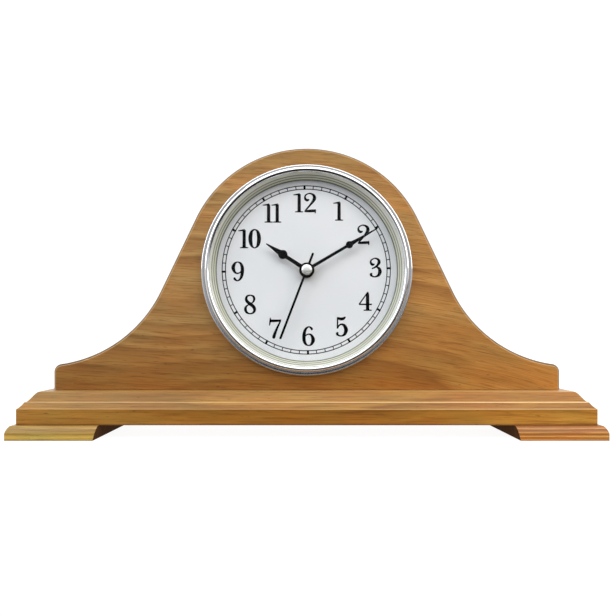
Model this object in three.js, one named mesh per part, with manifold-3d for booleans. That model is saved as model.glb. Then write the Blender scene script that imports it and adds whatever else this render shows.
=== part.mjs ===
// A wooden mantel clock with a quartz movement, in millimetres. +Z is up and the front faces -Y.
// The origin lies on the table, under the middle of the feet.
import * as THREE from "three";
import { mergeVertices } from "three/addons/utils/BufferGeometryUtils.js";
import Module from "manifold-3d";

const wasm = await Module();
wasm.setup();

const DEGREE = Math.PI / 180;

// Clearance between pieces that touch, and the overlap that joins the parts of one piece.
const GAP = 0.3;
const JOIN = 0.1;

// Fineness of curves, and the distance within which two points of a mesh are one.
const ROUND_SEGMENTS = 48;
const BODY_SEGMENTS = 24;
const PIPE_SEGMENTS = 16;
const SCREW_SEGMENTS = 8;
const PIVOT_SEGMENTS = 8;
const CURVE_STEPS = 8;
const MERGE_DISTANCE = 1e-4;

// Feet: two runners under the ends of the base. Their front and outer edges are rounded by an arc
// that starts with a slight crease and runs to the top.
const FOOT_HALF_SPAN = 215;
const FOOT_DEPTH = 84;
const FOOT_HEIGHT = 10.2;
const FOOT_LENGTH = 63;
const FOOT_UNDERCUT = 2.7;
const FOOT_ROUND_WIDTH = 2.7;
const FOOT_ROUND_HEIGHT = 5.3;
const FOOT_CREASE = 10 * DEGREE;
const FOOT_ROUND_STEPS = 4;

// Base: a board with a stepped moulding on its front and both ends, and a plain back.
const BASE_SETBACK = 5.6;
const BASE_FASCIA = 11.5;
const SPLAY_WIDTH = 4.3;
const SPLAY_HEIGHT = 4.5;
const SPLAY_HOLLOW = 0.4;
const SPLAY_STEPS = 3;
const OGEE_WIDTH = 8.4;
const OGEE_HEIGHT = 7;
const OGEE_STEPS = 7;

// Case: a thick plank sawn to a round arch with straight flanks and long hollow shoulders.
const CASE_HALF_WIDTH = 193.4;
const CASE_HEIGHT = 184.5;
const CASE_THICKNESS = 50;
const CASE_BACK_LAND = 5;
const ARCH_RADIUS = 94.3;
const FLANK_ANGLE = 64.3 * DEGREE;
const SHOULDER_SLOPE = 8.1 * DEGREE;
const SHOULDER_HEIGHT = 19.4;
const CORNER_RADIUS = 6;
const EDGE_ROUND = 2;
const EDGE_STEPS = 2;
const ARCH_STEPS = 26;
const SHOULDER_STEPS = 10;
const CORNER_STEPS = 3;

// Seat of the dial: a rebate in the front face and a bore through to the back.
const DIAL_RISE = 0.9;
const REBATE_RADIUS = 76.5;
const LEDGE_DEPTH = 4.3;
const BORE_RADIUS = 55;

// Wood screws that hold the case on the base and the feet under it.
const CASE_SCREW_XS = [-130, -50, 50, 130];
const CASE_SCREW = { radius: 2, headRadius: 4, headDepth: 2.6, length: 42 };
const FOOT_SCREW_YS = [-24, 26];
const FOOT_SCREW = { radius: 1.75, headRadius: 3.5, headDepth: 2.2, length: 18 };
const SCREW_RECESS = 0.6;
const SCREW_POINT = 4;

// Dial group, measured from the front face of the case and from the dial's axis.
const DIAL_THICKNESS = 1;
const DIAL_SCREW_RADIUS = 72.9;
const DIAL_SCREW = {
  radius: 1.2,
  headRadius: 1.7,
  headHeight: 1.1,
  crown: 1,
  side: 0.45,
  length: 9,
  point: 1.8,
};
const DIAL_SCREW_ANGLES = [45, 135, 225, 315];
const BEZEL_RADIUS = 80.5;
const BEZEL_RIM = 1.6;
const RIM_TURN = 144 * DEGREE;
const RIM_STEPS = 2;
const BEZEL_WALL = 0.6;
const BEAD_RADIUS = 1.9;
const BEAD_INSET = 5.3;
const BEAD_STEPS = 5;
const COVE_STEPS = 2;
const SIGHT_RADIUS = 69.4;
const SIGHT_HEIGHT = 6.9;
const SIGHT_FLARE = 4.2;
const SHEET = 0.8;
const GLASS_THICKNESS = 1.6;
const GLASS_RISE = 4.5;
const GLASS_RINGS = 3;

// Movement housing with its dry cell.
const CELL_RADIUS = 7.25;
const CELL_LENGTH = 50.5;
const CELL_NUB_RADIUS = 2.7;
const CELL_NUB = 1;
const CELL_EDGE = 0.5;
const CONTACT_SHEET = 0.35;
const CONTACT_BOW = 0.3;
const CONTACT_WIDTH = 3;
const CONTACT_SLOT = 1.2;
const HOUSING_WALL = 1.5;
const HOUSING_CORNER = 3;
const HOUSING_PARTITION = 1.2;
const HOUSING_ABOVE = 27;
const RUBBER_RADIUS = 13;
const RUBBER_THICKNESS = 1;
const PLATE_THICKNESS = 1;
const WHEEL_THICKNESS = 1.1;
const WHEEL_GAP = 0.4;
const PIVOT_DEPTH = 0.8;

// Arbor and pipes on the dial's axis, each turning in the next.
const ARBOR_RADIUS = 0.5;
const PIPE_CLEARANCE = 0.3;
const MINUTE_PIPE_WALL = 0.8;
const HOUR_PIPE_WALL = 0.7;
const BUSH_WALL = 1.1;
const BUSH_PROUD = 0.6;
const WASHER_RADIUS = 5.7;
const WASHER_THICKNESS = 0.5;
const NUT_FLATS = 10;
const NUT_THICKNESS = 2;

// Tooth counts and modules. The rotor turns half a turn each second.
const ROTOR_LEAVES = 6;
const INTERMEDIATE_TEETH = 36;
const ROTOR_MODULE = 0.38;
const INTERMEDIATE_LEAVES = 6;
const SECONDS_TEETH = 30;
const SECONDS_MODULE = 0.46;
const SECONDS_LEAVES = 6;
const THIRD_TEETH = 48;
const THIRD_MODULE = 0.45;
const THIRD_LEAVES = 6;
const CENTRE_TEETH = 45;
const MINUTE_LEAVES = 10;
const MOTION_TEETH = 30;
const MOTION_MODULE = 0.6;
const MOTION_LEAVES = 8;
const HOUR_TEETH = 32;
const KNOB_LEAVES = 10;

// One flank of a tooth from its root to its tip: height over the pitch circle in modules, and half
// the tooth's width there as a share of the pitch. Wheels have plain teeth and pinions have leaves.
const WHEEL_FORM = [[-1.15, 0.27], [0.95, 0.1]];
const LEAF_FORM = [[-1.2, 0.17], [0, 0.19], [0.8, 0.1]];

// Directions in which the wheels off the dial's axis are planted, seen from the front.
const THIRD_DIRECTION = 150 * DEGREE;
const INTERMEDIATE_DIRECTION = 20 * DEGREE;
const ROTOR_DIRECTION = 10 * DEGREE;
const MOTION_DIRECTION = 90 * DEGREE;
const KNOB_DIRECTION = 45 * DEGREE;

// Motor, circuit and setting knob.
const MAGNET_RADIUS = 2.4;
const MAGNET_THICKNESS = 1.8;
const STATOR_GAP = 0.5;
const STATOR_THICKNESS = 0.8;
const STATOR_WIDTH = 7.6;
const STATOR_LENGTH = 26;
const STATOR_EAR = 3.5;
const STATOR_REACH = 4.6;
const CORE_WIDTH = 2;
const COIL_RADIUS = 2.1;
const COIL_NECK = 1.75;
const COIL_FLANGE = 0.8;
const BOARD_THICKNESS = 0.8;
const BOARD_WIDTH = 13.2;
const CHIP = { radius: 3, crown: 2.2, side: 0.6, height: 0.9 };
const CRYSTAL_RADIUS = 1;
const CRYSTAL_LENGTH = 6;
const CRYSTAL_EDGE = 0.3;
const KNOB_SHAFT_RADIUS = 1.5;
const KNOB_RADIUS = 5;
const KNOB_HEIGHT = 3.5;
const KNOB_RIBS = 16;
const KNOB_RIB = 0.4;

// Hands, and where they stand at rest: ten past ten.
const HAND_GAP = 0.5;
const HOUR_HAND = { length: 36.8, bulbAt: 21.7, bulb: 3.3, bar: 2.6, boss: 5.8, sheet: 0.5 };
const MINUTE_HAND = { length: 62.2, bulbAt: 37.5, bulb: 2.5, bar: 1.7, boss: 4.6, sheet: 0.4 };
const SECOND_HAND = { length: 56.3, tail: 13.6, bar: 1.2, boss: 3, sheet: 0.3 };
const HAND_TIP = 0.4;
const CAP_RADIUS = 4;
const CAP_HEIGHT = 1.7;
const CAP_EDGE = 0.4;
const CAP_STEPS = 5;

// The bulb of a hand: half its neck as a share of the bar's width, the angle at which its sides
// leave it, and the point that pulls them in, in widths of the bar and radii of the bulb.
const BULB_NECK = 0.45;
const BULB_SHOULDER = 52 * DEGREE;
const TAPER_ACROSS = 0.45;
const TAPER_ALONG = 1.9;

const HOUR_ANGLE = 302.5 * DEGREE;
const MINUTE_ANGLE = 59.5 * DEGREE;
const SECOND_ANGLE = 201 * DEGREE;

// Places that follow from the sizes above. Heights named _H are in front of the case's face.
const BASE_BOTTOM = FOOT_HEIGHT;
const FASCIA_TOP = BASE_BOTTOM + BASE_FASCIA;
const BASE_TOP = FASCIA_TOP + SPLAY_HEIGHT + OGEE_HEIGHT;
const BASE_HALF_WIDTH = FOOT_HALF_SPAN - BASE_SETBACK;
const BASE_FRONT = -FOOT_DEPTH / 2 + BASE_SETBACK;
const BACK = FOOT_DEPTH / 2;
const CASE_BOTTOM = BASE_TOP + GAP;
const CASE_FACE = BACK - CASE_BACK_LAND - CASE_THICKNESS;
const CASE_MIDDLE = CASE_FACE + CASE_THICKNESS / 2;
const ARCH_CENTRE = CASE_BOTTOM + CASE_HEIGHT - ARCH_RADIUS;
const DIAL_Z = ARCH_CENTRE + DIAL_RISE;

const DIAL_BACK_H = GAP - LEDGE_DEPTH;
const DIAL_FRONT_H = DIAL_BACK_H + DIAL_THICKNESS;
const DIAL_RADIUS = REBATE_RADIUS - GAP;
const GLASS_RIM_H = DIAL_FRONT_H + GAP + SIGHT_HEIGHT + GAP;
const LIP_H = GLASS_RIM_H + GLASS_THICKNESS + GAP;
const SKIRT_RADIUS = REBATE_RADIUS - GAP;
const GLASS_RADIUS = SKIRT_RADIUS - BEZEL_WALL - GAP * 2;

const RUBBER_BACK_H = DIAL_BACK_H - GAP - RUBBER_THICKNESS;
const HOUSING_FRONT_H = RUBBER_BACK_H - GAP;
const HOUSING_INNER_H = HOUSING_FRONT_H - HOUSING_WALL;
const LEVEL = WHEEL_THICKNESS + WHEEL_GAP;
const HOUR_WHEEL_H = HOUSING_INNER_H - LEVEL;
const MOTION_H = HOUR_WHEEL_H - LEVEL;
const CENTRE_H = MOTION_H - LEVEL;
const PLATE_H = CENTRE_H - WHEEL_GAP - PLATE_THICKNESS;
const THIRD_H = PLATE_H - LEVEL;
const SECONDS_H = THIRD_H - LEVEL;
const INTERMEDIATE_H = SECONDS_H - LEVEL;
const COVER_FRONT_H = INTERMEDIATE_H - WHEEL_GAP;
const COVER_BACK_H = COVER_FRONT_H - HOUSING_WALL;
const PIVOT_BACK_H = COVER_FRONT_H - PIVOT_DEPTH;
const PIVOT_FRONT_H = HOUSING_INNER_H + PIVOT_DEPTH;

const MINUTE_PIPE_IN = ARBOR_RADIUS + PIPE_CLEARANCE;
const MINUTE_PIPE_OUT = MINUTE_PIPE_IN + MINUTE_PIPE_WALL;
const HOUR_PIPE_IN = MINUTE_PIPE_OUT + PIPE_CLEARANCE;
const HOUR_PIPE_OUT = HOUR_PIPE_IN + HOUR_PIPE_WALL;
const BUSH_IN = HOUR_PIPE_OUT + PIPE_CLEARANCE;
const BUSH_OUT = BUSH_IN + BUSH_WALL;
const WASHER_H = DIAL_FRONT_H + GAP;
const NUT_H = WASHER_H + WASHER_THICKNESS + GAP;
const BUSH_TOP_H = NUT_H + NUT_THICKNESS + BUSH_PROUD;
const HOUR_HAND_H = BUSH_TOP_H + HAND_GAP;
const MINUTE_HAND_H = HOUR_HAND_H + HOUR_HAND.sheet + HAND_GAP * 2;
const SECOND_HAND_H = MINUTE_HAND_H + MINUTE_HAND.sheet + HAND_GAP * 2;
const CAP_H = SECOND_HAND_H + SECOND_HAND.sheet + GAP;

// The two gear pairs on the dial's axis share their centre distances, which sets the second module.
const THIRD_DISTANCE = THIRD_MODULE * (SECONDS_LEAVES + THIRD_TEETH) / 2;
const CENTRE_MODULE = THIRD_DISTANCE * 2 / (THIRD_LEAVES + CENTRE_TEETH);
const MOTION_DISTANCE = MOTION_MODULE * (MINUTE_LEAVES + MOTION_TEETH) / 2;
const HOUR_MODULE = MOTION_DISTANCE * 2 / (MOTION_LEAVES + HOUR_TEETH);
const SECONDS_DISTANCE = SECONDS_MODULE * (INTERMEDIATE_LEAVES + SECONDS_TEETH) / 2;
const ROTOR_DISTANCE = ROTOR_MODULE * (ROTOR_LEAVES + INTERMEDIATE_TEETH) / 2;
const KNOB_DISTANCE = MOTION_MODULE * (KNOB_LEAVES + MOTION_TEETH) / 2;

// The chamber for the wheels clears the largest of them, and the cell's tray lies under it.
const CENTRE_TIP = CENTRE_MODULE * (CENTRE_TEETH / 2 + 1);
const TRAY_HALF_LENGTH = CELL_LENGTH / 2 + GAP * 2 + CONTACT_BOW + CONTACT_SHEET;
const HOUSING_HALF_WIDTH = TRAY_HALF_LENGTH + HOUSING_WALL;
const CHAMBER_TOP = HOUSING_ABOVE - HOUSING_WALL;
const CHAMBER_BOTTOM = -CENTRE_TIP - WHEEL_GAP;
const TRAY_TOP = CHAMBER_BOTTOM - HOUSING_PARTITION;
const TRAY_BOTTOM = TRAY_TOP - (CELL_RADIUS + GAP) * 2;
const HOUSING_BELOW = TRAY_BOTTOM - HOUSING_WALL;
const CELL_Y = (TRAY_TOP + TRAY_BOTTOM) / 2;
const CELL_H = HOUSING_INNER_H - GAP - CELL_RADIUS;
const BOARD_H = COVER_FRONT_H + GAP * 1.5;
const BOARD_RIGHT = BOARD_WIDTH - TRAY_HALF_LENGTH + GAP;

const CENTRE = new THREE.Vector2(0, 0);
const THIRD = polar(CENTRE, THIRD_DISTANCE, THIRD_DIRECTION);
const INTERMEDIATE = polar(CENTRE, SECONDS_DISTANCE, INTERMEDIATE_DIRECTION);
const ROTOR = polar(INTERMEDIATE, ROTOR_DISTANCE, ROTOR_DIRECTION);
const MOTION = polar(CENTRE, MOTION_DISTANCE, MOTION_DIRECTION);
const KNOB = polar(MOTION, KNOB_DISTANCE, KNOB_DIRECTION);

const STATOR_H = THIRD_H + WHEEL_THICKNESS - GAP - (MAGNET_THICKNESS + STATOR_THICKNESS) / 2;
const STATOR_LEFT = ROTOR.x - STATOR_WIDTH / 2;
const STATOR_RIGHT = STATOR_LEFT + STATOR_WIDTH;
const STATOR_LOW = ROTOR.y + STATOR_WIDTH / 2 - STATOR_LENGTH / 2;
const STATOR_HIGH = STATOR_LOW + STATOR_LENGTH;
const CORE_X = STATOR_RIGHT + STATOR_REACH - CORE_WIDTH / 2 - GAP;
const CORE_H = STATOR_H - GAP - STATOR_THICKNESS;

// Finishes.
const WOOD = finish("#b9793a", 0.35, 0);
const CHROME = finish("#d9dadd", 0.12, 1);
const SATIN = finish("#cfc9b4", 0.35, 0.9);
const GLASS = finish("#eef4f6", 0.03, 0);
GLASS.transparent = true;
GLASS.opacity = 0.25;
const WHITE = finish("#e4e7ea", 0.5, 0);
const BLACK = finish("#0d0d0e", 0.4, 0.2);
const STEEL = finish("#b3b5b8", 0.35, 1);
const BRASS = finish("#c9a24e", 0.3, 1);
const RUBBER = finish("#1b1b1b", 0.9, 0);
const HOUSING_PLASTIC = finish("#26272a", 0.55, 0);
const GEAR_PLASTIC = finish("#e8e4d6", 0.5, 0);
const COPPER = finish("#b5683a", 0.35, 0.9);
const BOARD_GREEN = finish("#2f6b45", 0.5, 0);
const CELL_SLEEVE = finish("#33363c", 0.4, 0.2);

function finish(color, roughness, metalness) {
  return new THREE.MeshStandardMaterial({ color, roughness, metalness });
}

function polar(from, distance, angle) {
  return new THREE.Vector2(from.x + distance * Math.cos(angle), from.y + distance * Math.sin(angle));
}

// A closed geometry as a solid for joining and cutting.
function solid(geometry) {
  const bare = geometry.clone();
  bare.deleteAttribute("normal");
  bare.deleteAttribute("uv");
  const merged = mergeVertices(bare, MERGE_DISTANCE);
  const triVerts = [];
  for (let i = 0; i < merged.index.count; i += 3) {
    const [a, b, c] = [0, 1, 2].map((k) => merged.index.getX(i + k));
    if (a !== b && b !== c && c !== a) triVerts.push(a, b, c);
  }
  const vertProperties = merged.attributes.position.array;
  return new wasm.Manifold(
    new wasm.Mesh({ numProp: 3, vertProperties, triVerts: new Uint32Array(triVerts) }),
  );
}

function geometryOf(body) {
  const made = body.getMesh();
  const geometry = new THREE.BufferGeometry();
  geometry.setAttribute("position", new THREE.BufferAttribute(made.vertProperties, 3));
  geometry.setIndex(new THREE.BufferAttribute(made.triVerts, 1));
  const faceted = geometry.toNonIndexed();
  faceted.computeVertexNormals();
  return faceted;
}

function addPiece(group, name, material, body) {
  const mesh = new THREE.Mesh(geometryOf(body), material);
  mesh.name = name;
  group.add(mesh);
  return mesh;
}

function join(bodies) {
  return bodies.reduce((whole, body) => whole.add(body));
}

function cut(body, tools) {
  return tools.reduce((left, tool) => left.subtract(tool), body);
}

// A flat outline made into a plate from height low to height high.
function plate(shape, low, high) {
  const geometry = new THREE.ExtrudeGeometry(shape, {
    depth: high - low,
    bevelEnabled: false,
    curveSegments: CURVE_STEPS,
  });
  return solid(geometry.translate(0, 0, low));
}

// A profile of [radius, height] points turned round the Z axis. It closes on itself, or on the axis.
function turned(profile, segments) {
  const points = profile.map(([radius, height]) => new THREE.Vector2(radius, height));
  if (THREE.ShapeUtils.area(points) < 0) points.reverse();
  if (points[0].x > 0 || points.at(-1).x > 0) points.push(points[0].clone());
  const geometry = new THREE.LatheGeometry(points, segments);
  return solid(geometry.rotateX(Math.PI / 2));
}

function cylinder(radius, low, high, at = CENTRE, segments = PIPE_SEGMENTS) {
  const body = turned([[0, low], [radius, low], [radius, high], [0, high]], segments);
  return body.translate([at.x, at.y, 0]);
}

function tube(inner, outer, low, high, segments = PIPE_SEGMENTS) {
  return turned([[inner, low], [outer, low], [outer, high], [inner, high]], segments);
}

function block(x0, x1, y0, y1, z0, z1) {
  const box = new THREE.BoxGeometry(x1 - x0, y1 - y0, z1 - z0);
  return solid(box.translate((x0 + x1) / 2, (y0 + y1) / 2, (z0 + z1) / 2));
}

function arc(centre, radius, from, to, steps) {
  const points = [];
  for (let i = 0; i <= steps; i += 1) {
    points.push(polar(centre, radius, from + ((to - from) * i) / steps));
  }
  return points;
}

function circle(radius) {
  return new THREE.Path().absarc(0, 0, radius, 0, Math.PI * 2, false);
}

function roundedRectangle(x0, x1, y0, y1, radius) {
  const quarter = Math.PI / 2;
  const corners = [[x1, y0, -1], [x1, y1, 0], [x0, y1, 1], [x0, y0, 2]];
  const points = corners.flatMap(([x, y, turn]) => {
    const centre = new THREE.Vector2(x - Math.sign(x - (x0 + x1) / 2) * radius,
      y - Math.sign(y - (y0 + y1) / 2) * radius);
    return arc(centre, radius, turn * quarter, (turn + 1) * quarter, CORNER_STEPS);
  });
  return new THREE.Shape(points);
}

// A stack of rectangles, lowest first, each [x0, x1, y0, y1, z], skinned into one body.
function stacked(levels) {
  const positions = levels.flatMap(([x0, x1, y0, y1, z]) => [
    x0, y0, z, x1, y0, z, x1, y1, z, x0, y1, z,
  ]);
  const top = (levels.length - 1) * 4;
  const index = [0, 2, 1, 0, 3, 2, top, top + 1, top + 2, top, top + 2, top + 3];
  for (let level = 0; level < top; level += 4) {
    for (let side = 0; side < 4; side += 1) {
      const a = level + side;
      const b = level + ((side + 1) % 4);
      index.push(a, b, b + 4, a, b + 4, a + 4);
    }
  }
  const geometry = new THREE.BufferGeometry();
  geometry.setAttribute("position", new THREE.Float32BufferAttribute(positions, 3));
  geometry.setIndex(index);
  return solid(geometry);
}

// Screws

// A countersunk screw with its head down at the origin and its point up. With a clearance it is
// the screw's hole, which is open below the head.
function countersunk({ radius, headRadius, headDepth, length }, clearance = 0) {
  const head = headRadius + clearance;
  const outside = -SCREW_RECESS * 2;
  const mouth = clearance ? [[0, outside], [head, outside]] : [[0, 0]];
  return turned([
    ...mouth,
    [head, 0],
    [radius + clearance, headDepth],
    [radius + clearance, length - SCREW_POINT],
    [0, length + clearance],
  ], SCREW_SEGMENTS);
}

function panHead({ radius, headRadius, headHeight, crown, side, length, point }, at) {
  const profile = [
    [0, headHeight],
    [crown, headHeight],
    [headRadius, side],
    [headRadius, 0],
    [radius, 0],
    [radius, point - length],
    [0, -length],
  ];
  return turned(profile, SCREW_SEGMENTS).translate([at.x, at.y, WASHER_H]);
}

function caseScrews(clearance) {
  return CASE_SCREW_XS.map((x) =>
    countersunk(CASE_SCREW, clearance).translate([x, CASE_MIDDLE, BASE_BOTTOM + SCREW_RECESS]),
  );
}

function footScrewPlaces() {
  const x = FOOT_HALF_SPAN - FOOT_LENGTH / 2;
  return [-x, x].flatMap((side) => FOOT_SCREW_YS.map((y) => [side, y, SCREW_RECESS]));
}

function footScrews(clearance) {
  return footScrewPlaces().map((place) => countersunk(FOOT_SCREW, clearance).translate(place));
}

// Wooden parts

// The rounded edge of a foot from its crease to its top: inset in x and height in y.
function footEdge() {
  const chord = new THREE.Vector2(FOOT_ROUND_WIDTH, FOOT_ROUND_HEIGHT);
  const halfTurn = Math.atan2(chord.x, chord.y) - FOOT_CREASE;
  const radius = chord.length() / 2 / Math.sin(halfTurn);
  const crease = new THREE.Vector2(0, FOOT_HEIGHT - FOOT_ROUND_HEIGHT);
  const centre = polar(crease, radius, -FOOT_CREASE);
  const from = Math.PI - FOOT_CREASE;
  return arc(centre, radius, from, from - halfTurn * 2, FOOT_ROUND_STEPS);
}

// side is 1 for the right foot and -1 for the left one.
function footBody(side) {
  const levels = [];
  const level = (z, inset) => {
    const inner = FOOT_HALF_SPAN - FOOT_LENGTH - (FOOT_UNDERCUT * z) / FOOT_HEIGHT;
    const ends = [side * inner, side * (FOOT_HALF_SPAN - inset)].sort((a, b) => a - b);
    levels.push([...ends, -FOOT_DEPTH / 2 + inset, BACK, z]);
  };
  level(0, 0);
  footEdge().forEach((point) => level(point.y, point.x));
  return cut(stacked(levels), footScrews(GAP));
}

// The moulding from the fascia up, as [inset, height above the fascia]: a slightly hollow splay, then
// an S-curve that starts flat on the crest of the splay and ends flat at the top.
function mouldingProfile() {
  const points = [];
  for (let i = 0; i <= SPLAY_STEPS; i += 1) {
    const t = i / SPLAY_STEPS;
    const hollow = SPLAY_HOLLOW * 4 * t * (1 - t) * Math.SQRT1_2;
    points.push([SPLAY_WIDTH * t + hollow, SPLAY_HEIGHT * t - hollow]);
  }
  for (let i = 1; i <= OGEE_STEPS; i += 1) {
    const t = i / OGEE_STEPS;
    const sway = (1 - Math.cos(Math.PI * t)) / 2;
    points.push([SPLAY_WIDTH + OGEE_WIDTH * t, SPLAY_HEIGHT + OGEE_HEIGHT * sway]);
  }
  return points;
}

function baseBody() {
  const level = ([inset, z]) => [
    inset - BASE_HALF_WIDTH,
    BASE_HALF_WIDTH - inset,
    BASE_FRONT + inset,
    BACK,
    z,
  ];
  const levels = [level([0, BASE_BOTTOM])];
  mouldingProfile().forEach(([inset, rise]) => levels.push(level([inset, FASCIA_TOP + rise])));
  return cut(stacked(levels), [...caseScrews(GAP), ...footScrews(GAP)]);
}

// The arch meets its straight flanks smoothly, and each flank runs smoothly into a hollow shoulder.
function caseOutline(bottom) {
  const arch = new THREE.Vector2(0, ARCH_CENTRE);
  const flankTop = polar(arch, ARCH_RADIUS, Math.PI / 2 - FLANK_ANGLE);
  const slope = new THREE.Vector2(Math.sin(SHOULDER_SLOPE), Math.cos(SHOULDER_SLOPE));
  const shoulder = new THREE.Vector2(
    CASE_HALF_WIDTH - CORNER_RADIUS * (1 - slope.x),
    CASE_BOTTOM + SHOULDER_HEIGHT,
  );
  const corner = shoulder.clone().addScaledVector(slope, -CORNER_RADIUS);
  const normal = new THREE.Vector2(Math.sin(FLANK_ANGLE), Math.cos(FLANK_ANGLE));
  const along = new THREE.Vector2(normal.y, -normal.x);
  const across = normal.clone().sub(slope);
  const reach = shoulder.clone().sub(flankTop);
  const hollowRadius = reach.cross(along) / across.cross(along);
  const flankLength = reach.addScaledVector(across, -hollowRadius).dot(along);
  const flankFoot = flankTop.clone().addScaledVector(along, flankLength);
  const hollow = flankFoot.clone().addScaledVector(normal, hollowRadius);
  const down = Math.PI * 1.5;
  const right = [
    new THREE.Vector2(CASE_HALF_WIDTH, bottom),
    ...arc(corner, CORNER_RADIUS, 0, Math.PI / 2 - SHOULDER_SLOPE, CORNER_STEPS),
    ...arc(hollow, hollowRadius, down - SHOULDER_SLOPE, down - FLANK_ANGLE, SHOULDER_STEPS).slice(1),
  ];
  const up = Math.PI / 2;
  const top = arc(arch, ARCH_RADIUS, up - FLANK_ANGLE, up + FLANK_ANGLE, ARCH_STEPS);
  const left = right.map((point) => new THREE.Vector2(-point.x, point.y)).reverse();
  return new THREE.Shape([...right, ...top, ...left]);
}

// The plank with both its edges rounded over. It is drawn longer and cut flat where it stands.
function caseBlank() {
  const spare = EDGE_ROUND * 2;
  const geometry = new THREE.ExtrudeGeometry(caseOutline(CASE_BOTTOM - spare), {
    depth: CASE_THICKNESS - EDGE_ROUND * 2,
    bevelThickness: EDGE_ROUND,
    bevelSize: EDGE_ROUND,
    bevelOffset: -EDGE_ROUND,
    bevelSegments: EDGE_STEPS,
  });
  const blank = solid(geometry.translate(0, 0, EDGE_ROUND - CASE_THICKNESS));
  const wide = CASE_HALF_WIDTH * 2;
  const low = CASE_BOTTOM - spare * 2;
  return blank.subtract(block(-wide, wide, low, CASE_BOTTOM, -CASE_THICKNESS * 2, EDGE_ROUND));
}

// Drawn face up, so that its own Z is the height in front of the face.
function caseBody() {
  const bores = [
    cylinder(REBATE_RADIUS, -LEDGE_DEPTH, EDGE_ROUND, CENTRE, ROUND_SEGMENTS),
    cylinder(BORE_RADIUS, -CASE_THICKNESS * 2, EDGE_ROUND, CENTRE, ROUND_SEGMENTS),
    ...dialScrewPlaces().map((at) =>
      cylinder(DIAL_SCREW.radius + GAP, -DIAL_SCREW.length * 2, EDGE_ROUND, at, SCREW_SEGMENTS),
    ),
  ];
  const pilots = caseScrews(GAP).map((screw) =>
    screw.rotate([-90, 0, 0]).translate([0, 0, CASE_FACE]),
  );
  return cut(caseBlank(), [...bores.map((bore) => bore.translate([0, DIAL_Z, 0])), ...pilots]);
}

// Dial group

function dialScrewPlaces() {
  return DIAL_SCREW_ANGLES.map((angle) => polar(CENTRE, DIAL_SCREW_RADIUS, angle * DEGREE));
}

function bezelBody() {
  const beadRadius = BEZEL_RADIUS - BEAD_INSET;
  const bead = arc(new THREE.Vector2(beadRadius, LIP_H + JOIN), BEAD_RADIUS, 0, Math.PI, BEAD_STEPS);
  const rimCentre = new THREE.Vector2(BEZEL_RADIUS - BEZEL_RIM / 2, GAP + BEZEL_RIM / 2);
  const rim = arc(rimCentre, BEZEL_RIM / 2, 0, RIM_TURN, RIM_STEPS);
  const hollow = new THREE.QuadraticBezierCurve(
    polar(rimCentre, BEZEL_RIM / 2, Math.PI),
    new THREE.Vector2(bead[0].x, GAP + BEZEL_RIM),
    bead[0].clone(),
  ).getPoints(COVE_STEPS);
  const curve = [...rim, ...hollow.slice(0, -1), ...bead].map((point) => [point.x, point.y]);
  return turned([
    [SKIRT_RADIUS, GAP],
    [BEZEL_RADIUS, GAP],
    ...curve,
    [beadRadius - BEAD_RADIUS, LIP_H],
    [SKIRT_RADIUS - BEZEL_WALL, LIP_H],
    [SKIRT_RADIUS - BEZEL_WALL, WASHER_H],
    [SKIRT_RADIUS, WASHER_H],
  ], ROUND_SEGMENTS);
}

// A watch glass: the front is part of a sphere, and the back keeps the same thickness behind it.
function glassBody() {
  const radius = (GLASS_RADIUS ** 2 + GLASS_RISE ** 2) / (2 * GLASS_RISE);
  const half = Math.asin(GLASS_RADIUS / radius);
  const surface = (height) => {
    const centre = new THREE.Vector2(0, height + GLASS_RISE - radius);
    return arc(centre, radius, Math.PI / 2 - half, Math.PI / 2, GLASS_RINGS);
  };
  const back = surface(GLASS_RIM_H);
  const front = surface(GLASS_RIM_H + GLASS_THICKNESS);
  const profile = [...back.reverse(), ...front].map((point) => [Math.max(point.x, 0), point.y]);
  profile[0][0] = 0;
  profile.at(-1)[0] = 0;
  return turned(profile, ROUND_SEGMENTS);
}

function sightRingBody() {
  const top = WASHER_H + SIGHT_HEIGHT;
  const flareTop = SIGHT_RADIUS + SIGHT_FLARE;
  const outer = SKIRT_RADIUS - BEZEL_WALL - GAP;
  return turned([
    [SIGHT_RADIUS, WASHER_H],
    [SIGHT_RADIUS + SHEET, WASHER_H],
    [flareTop + SHEET * 0.5, top - SHEET],
    [outer, top - SHEET],
    [outer, top],
    [flareTop, top],
  ], ROUND_SEGMENTS);
}

function dialBody() {
  const plain = cylinder(DIAL_RADIUS, DIAL_BACK_H, DIAL_FRONT_H, CENTRE, ROUND_SEGMENTS);
  const holes = dialScrewPlaces().map((at) =>
    cylinder(DIAL_SCREW.radius + GAP, DIAL_BACK_H - GAP, WASHER_H, at, SCREW_SEGMENTS),
  );
  return cut(plain, [cylinder(BUSH_OUT + GAP, DIAL_BACK_H - GAP, WASHER_H), ...holes]);
}

// Housing of the movement

function pivotHole(at, low, high, radius = ARBOR_RADIUS) {
  return cylinder(radius + PIPE_CLEARANCE, low, high, at, PIVOT_SEGMENTS);
}

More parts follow.
